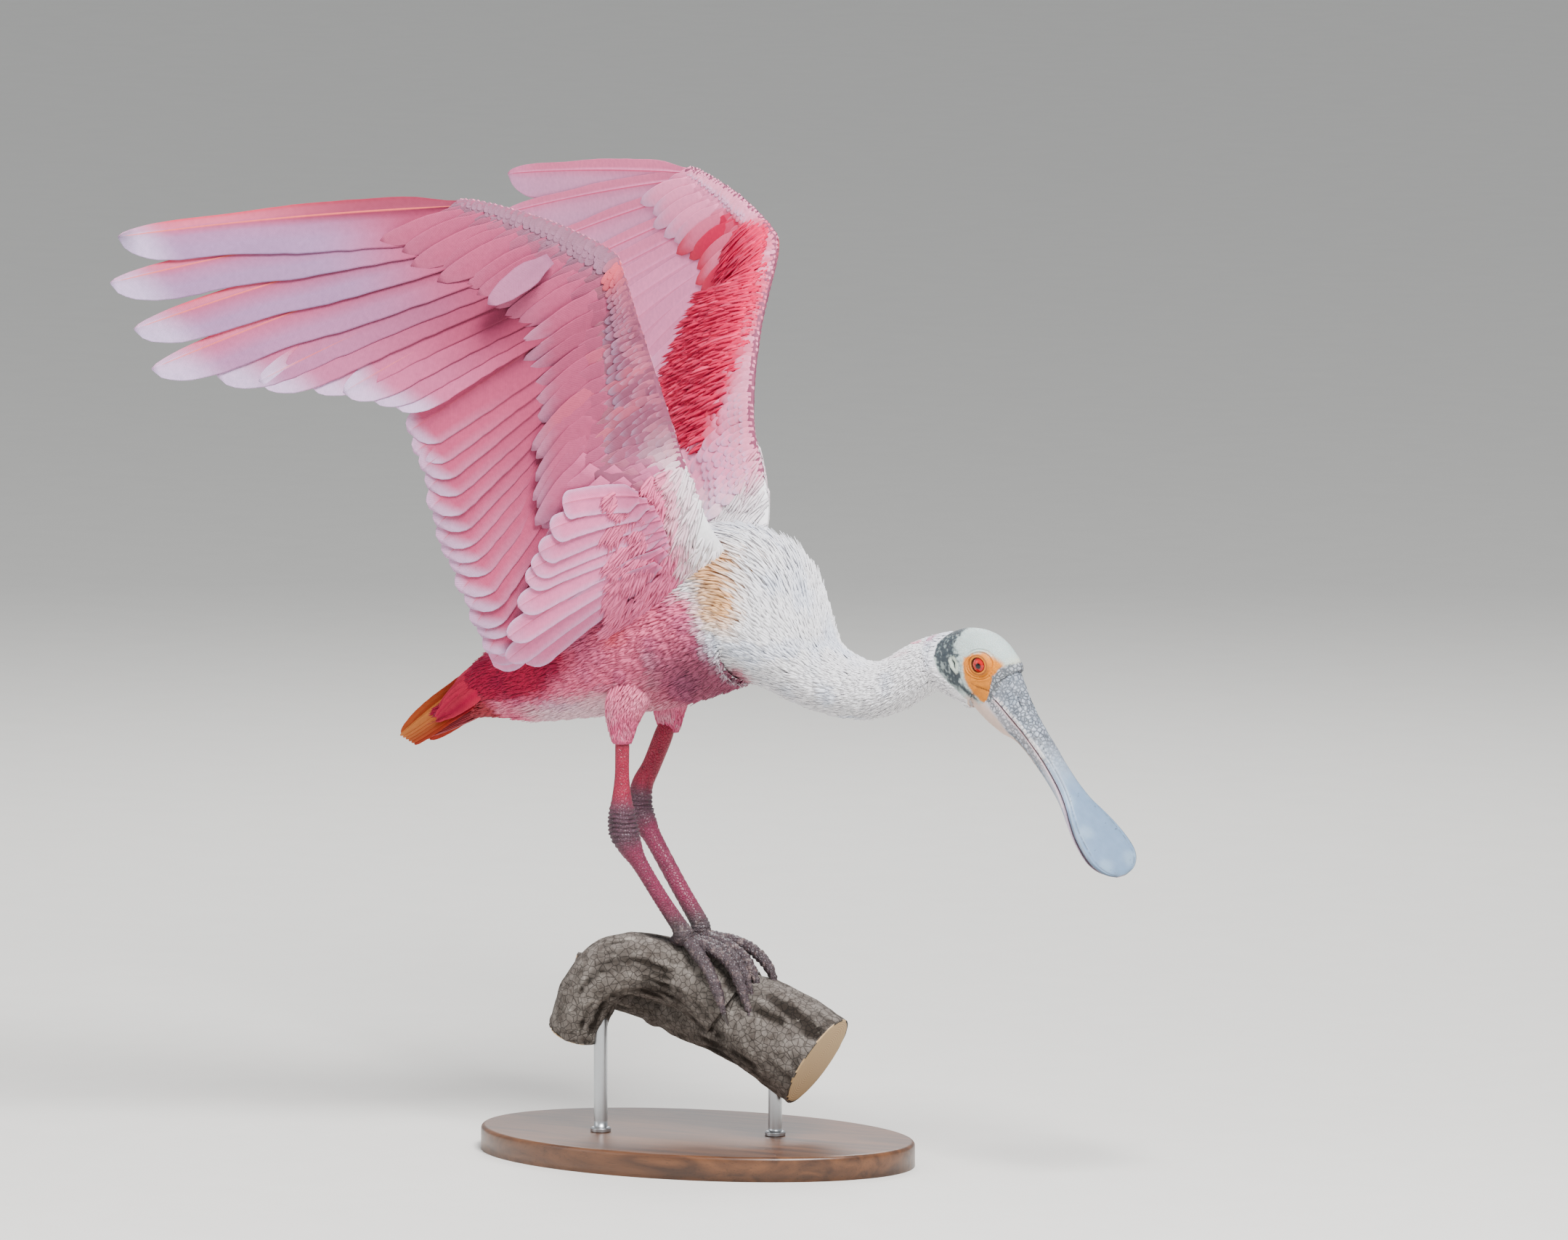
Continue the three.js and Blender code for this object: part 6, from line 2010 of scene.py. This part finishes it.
def walnut_material():
    """Oiled walnut: brown heartwood with long darker grain and open pores."""
    made, tree, place, surface = material("oiled_walnut", {
        "Roughness": 0.38, "Specular IOR Level": 0.45, "Coat Weight": 0.15, "Coat Roughness": 0.25})
    # Figure of about 16 mm across the grain, pores of about 0.8 mm.
    stretch = add(tree, "Mapping", {"Scale": (1.0, 9.0, 9.0), "Vector": place})
    figure = add(tree, "TexNoise", {"Scale": 7, "Detail": 7, "Distortion": 1.4, "Vector": stretch})
    stretch = add(tree, "Mapping", {"Scale": (0.08, 1.0, 1.0), "Vector": place})
    pores = add(tree, "TexNoise", {"Scale": 1300, "Detail": 3, "Vector": stretch})
    tone = add(tree, "MapRange", {"From Min": 0.32, "From Max": 0.68, "Value": figure})
    dark = add(tree, "MapRange", {"From Min": 0.3, "From Max": 0.42, "To Min": 0.6, "Value": pores})
    base = add(tree, "Mix", {**OVER, 0: tone, 6: linear("#3f2617"), 7: settings().stand.walnut})
    base = add(tree, "Mix", {**TIMES, 6: base, 7: dark})
    bump = add(tree, "Bump", {"Strength": 0.25, "Distance": 0.0003, "Height": dark})
    feed(surface, {"Base Color": base, "Normal": bump})
    return made


def make_base():
    """Oval walnut base with a rounded upper edge."""
    low, high = (np.array(corner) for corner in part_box("stand_base"))
    middle, size = (low + high) / 2, high - low
    bevel = settings().stand.bevel
    bm = bmesh.new()
    bmesh.ops.create_circle(bm, cap_ends=True, radius=1, segments=160)
    for vert in bm.verts:
        vert.co = (vert.co.x * size[0] / 2 + middle[0], vert.co.y * size[1] / 2 + middle[1], low[2])
    made = bmesh.ops.extrude_face_region(bm, geom=list(bm.faces))
    top = [v for v in made["geom"] if isinstance(v, bmesh.types.BMVert)]
    bmesh.ops.translate(bm, verts=top, vec=(0, 0, size[2]))
    rim = [edge for edge in bm.edges if all(abs(v.co.z - high[2]) < 1e-6 for v in edge.verts)]
    bmesh.ops.bevel(bm, geom=rim, offset=bevel, segments=5, affect="EDGES", profile=0.5)
    bmesh.ops.recalc_face_normals(bm, faces=bm.faces)
    obj = object_of(bm, "base_oval")
    obj.data.materials.append(walnut_material())
    for face in obj.data.polygons:
        face.use_smooth = abs(face.normal.z) < 0.99
    finish_piece(obj, ["stand_base"])


def make_rods():
    """Turned steel rods, with a small collar where they enter the base."""
    made, tree, place, surface = material("brushed_steel_rod", {
        "Base Color": linear("#b9bcbf"), "Metallic": 1.0})
    # Brushed lines of about 0.3 mm round the rod.
    stretch = add(tree, "Mapping", {"Scale": (1.0, 1.0, 14.0), "Vector": place})
    lines = add(tree, "TexNoise", {"Scale": 260, "Detail": 4, "Vector": stretch})
    rough = add(tree, "MapRange", {"To Min": 0.24, "To Max": 0.44, "Value": lines})
    bump = add(tree, "Bump", {"Strength": 0.15, "Distance": 0.0001, "Height": lines})
    feed(surface, {"Roughness": rough, "Normal": bump})
    for number in (1, 2):
        low, high = (np.array(corner) * 1000 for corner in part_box(f"stand_rod_{number}"))
        x, y = (low[:2] + high[:2]) / 2
        radius = (high[0] - low[0]) / 2
        bottom, top = low[2] - FEET_HEIGHT, high[2] - FEET_HEIGHT
        table = np.array([[bottom, radius * 1.5], [bottom + 2.4, radius * 1.5],
                          [bottom + 3.2, radius * 1.3], [bottom + 3.4, radius],
                          [(bottom + top) / 2, radius], [top + 4, radius]])

        def shape(share, turn, x=x, y=y, table=table):
            u = share * (len(table) - 1)
            height, wide = (np.interp(u, np.arange(len(table)), column) for column in table.T)
            return np.stack([x + np.cos(turn) * wide, y + np.sin(turn) * wide, height], -1)

        obj = object_of(tube(shape, 48, 40), f"steel_rod_{number}")
        obj.data.materials.append(made)
        obj.data.shade_smooth()
        finish_piece(obj, [f"stand_rod_{number}"])


# Stage.

def make_stage():
    """Pale floor, soft lights, and the camera at the photo's angle."""
    look = settings().stand
    scene = bpy.context.scene
    made, tree, place, surface = material("studio_paper", {
        "Roughness": 0.85, "Specular IOR Level": 0.1})
    # Clouds of about 40 mm, too faint to see as a pattern.
    cloud = add(tree, "TexNoise", {"Scale": 24, "Detail": 5, "Vector": place})
    tone = add(tree, "MapRange", {"To Min": 0.96, "To Max": 1.02, "Value": cloud})
    feed(surface, {"Base Color": add(tree, "Mix", {**TIMES, 6: look.floor, 7: tone})})
    bm = bmesh.new()
    bmesh.ops.create_circle(bm, cap_ends=True, radius=30, segments=96)
    floor = object_of(bm, "floor")
    floor.data.materials.append(made)
    scene.collection.objects.link(floor)

    world = bpy.data.worlds.new("studio")
    world.use_nodes = True
    feed(world.node_tree.nodes["Background"], {"Color": linear("#e3e6ea"), "Strength": 0.7})
    scene.world = world
    aim = Vector((0.0, 0.0, 0.42))
    for name, place, size, power in (
            ("key_light", (1.3, -1.3, 2.6), 1.0, 230), ("fill_light", (-1.9, -1.7, 1.2), 1.8, 22),
            ("rim_light", (-1.0, 2.0, 1.9), 1.2, 50)):
        light = bpy.data.lights.new(name, "AREA")
        light.size = size
        light.energy = power
        obj = bpy.data.objects.new(name, light)
        obj.location = place
        obj.rotation_euler = (aim - obj.location).to_track_quat("-Z", "Y").to_euler()
        scene.collection.objects.link(obj)

    camera = bpy.data.cameras.new("photo_camera")
    camera.sensor_width = 36
    camera.lens = camera.sensor_width * look.camera / PICTURE_WIDTH
    camera.clip_end = 200
    obj = bpy.data.objects.new("photo_camera", camera)
    right, high = PICTURE_MIDDLE
    target = on_frame(VIEW_RIGHT * right + np.cross(VIEW_BACK, VIEW_RIGHT) * high)
    obj.location = target + VIEW_BACK * look.camera
    obj.rotation_euler = Vector(VIEW_BACK).to_track_quat("Z", "Y").to_euler()
    scene.collection.objects.link(obj)
    scene.camera = obj


# Operators, panel and registration.

def skin_surface():
    """Search tree over the skin, for roots that have to grow from it."""
    mesh = bpy.data.objects["skin"].data
    corners = [tuple(face.vertices) for face in mesh.polygons]
    return BVHTree.FromPolygons([tuple(v.co) for v in mesh.vertices], corners)


class SPOONBILL_OT_skin(bpy.types.Operator):
    """Makes the skin that stands for the flesh solids"""
    bl_idname = "spoonbill.skin"
    bl_label = "Skin"

    def execute(self, context):
        skin = make_skin()
        plumage = feather_material("feathered_skin", 0.02, False)
        face = skin_material("bare_head_skin", 1.2, 0.25, 0.55)
        leg = skin_material("scaly_leg_skin", 2.2, 0.5, 0.45)
        for made in (plumage, face, leg):
            skin.data.materials.append(made)
        paint_faces(skin.data)
        finish_piece(skin, [
            "torso", "neck_lower", "neck_upper", "head", "tail",
            *(f"wing_{side}_{part}" for side in ("right", "left")
              for part in ("hand", "forearm", "upper_arm")),
            *(f"leg_{side}_{part}" for side in ("right", "left")
              for part in ("thigh", "shank", "tarsus", "foot"))])
        return {"FINISHED"}


class SPOONBILL_OT_eyes(bpy.types.Operator):
    """Makes the two eyes"""
    bl_idname = "spoonbill.eyes"
    bl_label = "Eyes"

    def execute(self, context):
        make_eyes()
        return {"FINISHED"}


class SPOONBILL_OT_bill(bpy.types.Operator):
    """Makes both halves of the bill"""
    bl_idname = "spoonbill.bill"
    bl_label = "Bill"

    def execute(self, context):
        make_bill()
        return {"FINISHED"}


class SPOONBILL_OT_claws(bpy.types.Operator):
    """Makes the claws"""
    bl_idname = "spoonbill.claws"
    bl_label = "Claws"

    def execute(self, context):
        make_claws()
        return {"FINISHED"}


class SPOONBILL_OT_wings(bpy.types.Operator):
    """Makes the flight feathers and the coverts of both wings"""
    bl_idname = "spoonbill.wings"
    bl_label = "Wings"

    def execute(self, context):
        vane = feather_material("flight_vane", 0.22, True)
        covert = feather_material("covert_vane", 0.12, True)
        for name, side in (("right", -1), ("left", 1)):
            rng = np.random.default_rng(SEED + 10)
            feather_piece(f"wing_{name}_flights", make_flights(side, rng), vane)
            upper = make_coverts(side, 1, UPPER_ROWS, rng)
            feather_piece(f"wing_{name}_upper_coverts", upper, covert)
            band = [make_plumes(side, rng)]
            feather_piece(f"wing_{name}_carmine_band", band, covert)
            under = make_coverts(side, -1, UNDER_ROWS, rng)
            feather_piece(f"wing_{name}_under_coverts", under, covert)
        return {"FINISHED"}


class SPOONBILL_OT_coat(bpy.types.Operator):
    """Makes the feathers of the body, neck and thighs"""
    bl_idname = "spoonbill.coat"
    bl_label = "Body feathers"

    def execute(self, context):
        surface = skin_surface()
        down = feather_material("body_feather", 0.1, False, 0.7, 0.1)
        size = settings().skin.tuft * 1000
        spacing = [[0, 4.2], [3, 5], [8, 5], [10, 4.2], [13, 3.4], [15, 3], [17, 2.6]]
        lengths = [[0, size * 0.9], [6, size], [8, size * 0.9], [10, size * 0.7],
                   [13, 11], [15, 8], [16.5, 5]]
        widths = [[0, 1.6], [8, 1.7], [10, 1.4], [13, 1.1], [15, 0.9], [16.5, 0.7]]
        for name, start, stop, count, slot in (
                ("coat_rump", 0.1, 4.6, 5, "body_feathers"),
                ("coat_flanks", 4.6, 6.9, 5, "body_feathers"),
                ("coat_breast", 6.9, 9.4, 5, "neck_feathers"),
                ("coat_neck", 9.4, 13.2, 4, "neck_feathers"),
                ("coat_nape", 13.2, 18.2, 4, "neck_feathers")):
            batches = make_body_coat(start, stop, spacing, lengths, widths, count,
                                     int(start * 10), surface)
            feather_piece(name, batches, down)
        rng = np.random.default_rng(SEED + 3)
        thighs = make_thigh_coat(-1, rng, surface) + make_thigh_coat(1, rng, surface)
        feather_piece("coat_thighs", thighs, down)
        shoulders = make_shoulder_coat(-1, rng) + make_shoulder_coat(1, rng)
        feather_piece("coat_shoulders", shoulders, down)
        return {"FINISHED"}


class SPOONBILL_OT_tail(bpy.types.Operator):
    """Makes the tail feathers and their coverts"""
    bl_idname = "spoonbill.tail"
    bl_label = "Tail"

    def execute(self, context):
        vane = feather_material("tail_vane", 0.1, True)
        tail = make_tail(np.random.default_rng(SEED + 7))
        feather_piece("tail_vanes", tail, vane)
        return {"FINISHED"}


class SPOONBILL_OT_perch(bpy.types.Operator):
    """Makes the branch under the feet"""
    bl_idname = "spoonbill.perch"
    bl_label = "Perch"

    def execute(self, context):
        make_perch()
        return {"FINISHED"}


class SPOONBILL_OT_stand(bpy.types.Operator):
    """Makes the base and the two rods"""
    bl_idname = "spoonbill.stand"
    bl_label = "Stand"

    def execute(self, context):
        make_base()
        make_rods()
        return {"FINISHED"}


class SPOONBILL_OT_stage(bpy.types.Operator):
    """Makes the floor, the lights and the camera"""
    bl_idname = "spoonbill.stage"
    bl_label = "Stage"

    def execute(self, context):
        make_stage()
        return {"FINISHED"}


class SpoonbillSettings(bpy.types.PropertyGroup):
    """All settings of the spoonbill."""
    plumage: bpy.props.PointerProperty(
        type=SpoonbillPlumage, name="Plumage", description="Feather colours")
    skin: bpy.props.PointerProperty(
        type=SpoonbillSkin, name="Skin", description="Skin, bill and eyes")
    stand: bpy.props.PointerProperty(
        type=SpoonbillStand, name="Stand", description="Perch, stand and stage")


OPERATORS = (
    SPOONBILL_OT_skin, SPOONBILL_OT_eyes, SPOONBILL_OT_bill, SPOONBILL_OT_claws, SPOONBILL_OT_wings,
    SPOONBILL_OT_coat, SPOONBILL_OT_tail, SPOONBILL_OT_perch, SPOONBILL_OT_stand, SPOONBILL_OT_stage,
)


class SPOONBILL_PT_panel(bpy.types.Panel):
    """Sidebar panel with the settings and the pieces of the spoonbill"""
    bl_label = "Roseate spoonbill"
    bl_idname = "SPOONBILL_PT_panel"
    bl_space_type = "VIEW_3D"
    bl_region_type = "UI"
    bl_category = "Spoonbill"

    def draw(self, context):
        groups = settings()
        for group in (groups.plumage, groups.skin, groups.stand):
            box = self.layout.box()
            for key in group.__annotations__:
                box.prop(group, key)
        for operator in OPERATORS:
            self.layout.operator(operator.bl_idname)


CLASSES = (SpoonbillPlumage, SpoonbillSkin, SpoonbillStand, SpoonbillSettings, *OPERATORS,
           SPOONBILL_PT_panel)


def register():
    """Adds the classes and the settings to Blender."""
    for cls in CLASSES:
        bpy.utils.register_class(cls)
    setattr(bpy.types.Scene, PROPS, bpy.props.PointerProperty(type=SpoonbillSettings))


def unregister():
    """Takes the classes and the settings out again."""
    delattr(bpy.types.Scene, PROPS)
    for cls in reversed(CLASSES):
        bpy.utils.unregister_class(cls)


def main():
    """Runs every operator in order."""
    register()
    for operator in OPERATORS:
        group, name = operator.bl_idname.split(".")
        getattr(getattr(bpy.ops, group), name)()
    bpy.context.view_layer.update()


if __name__ == "__main__":
    main()
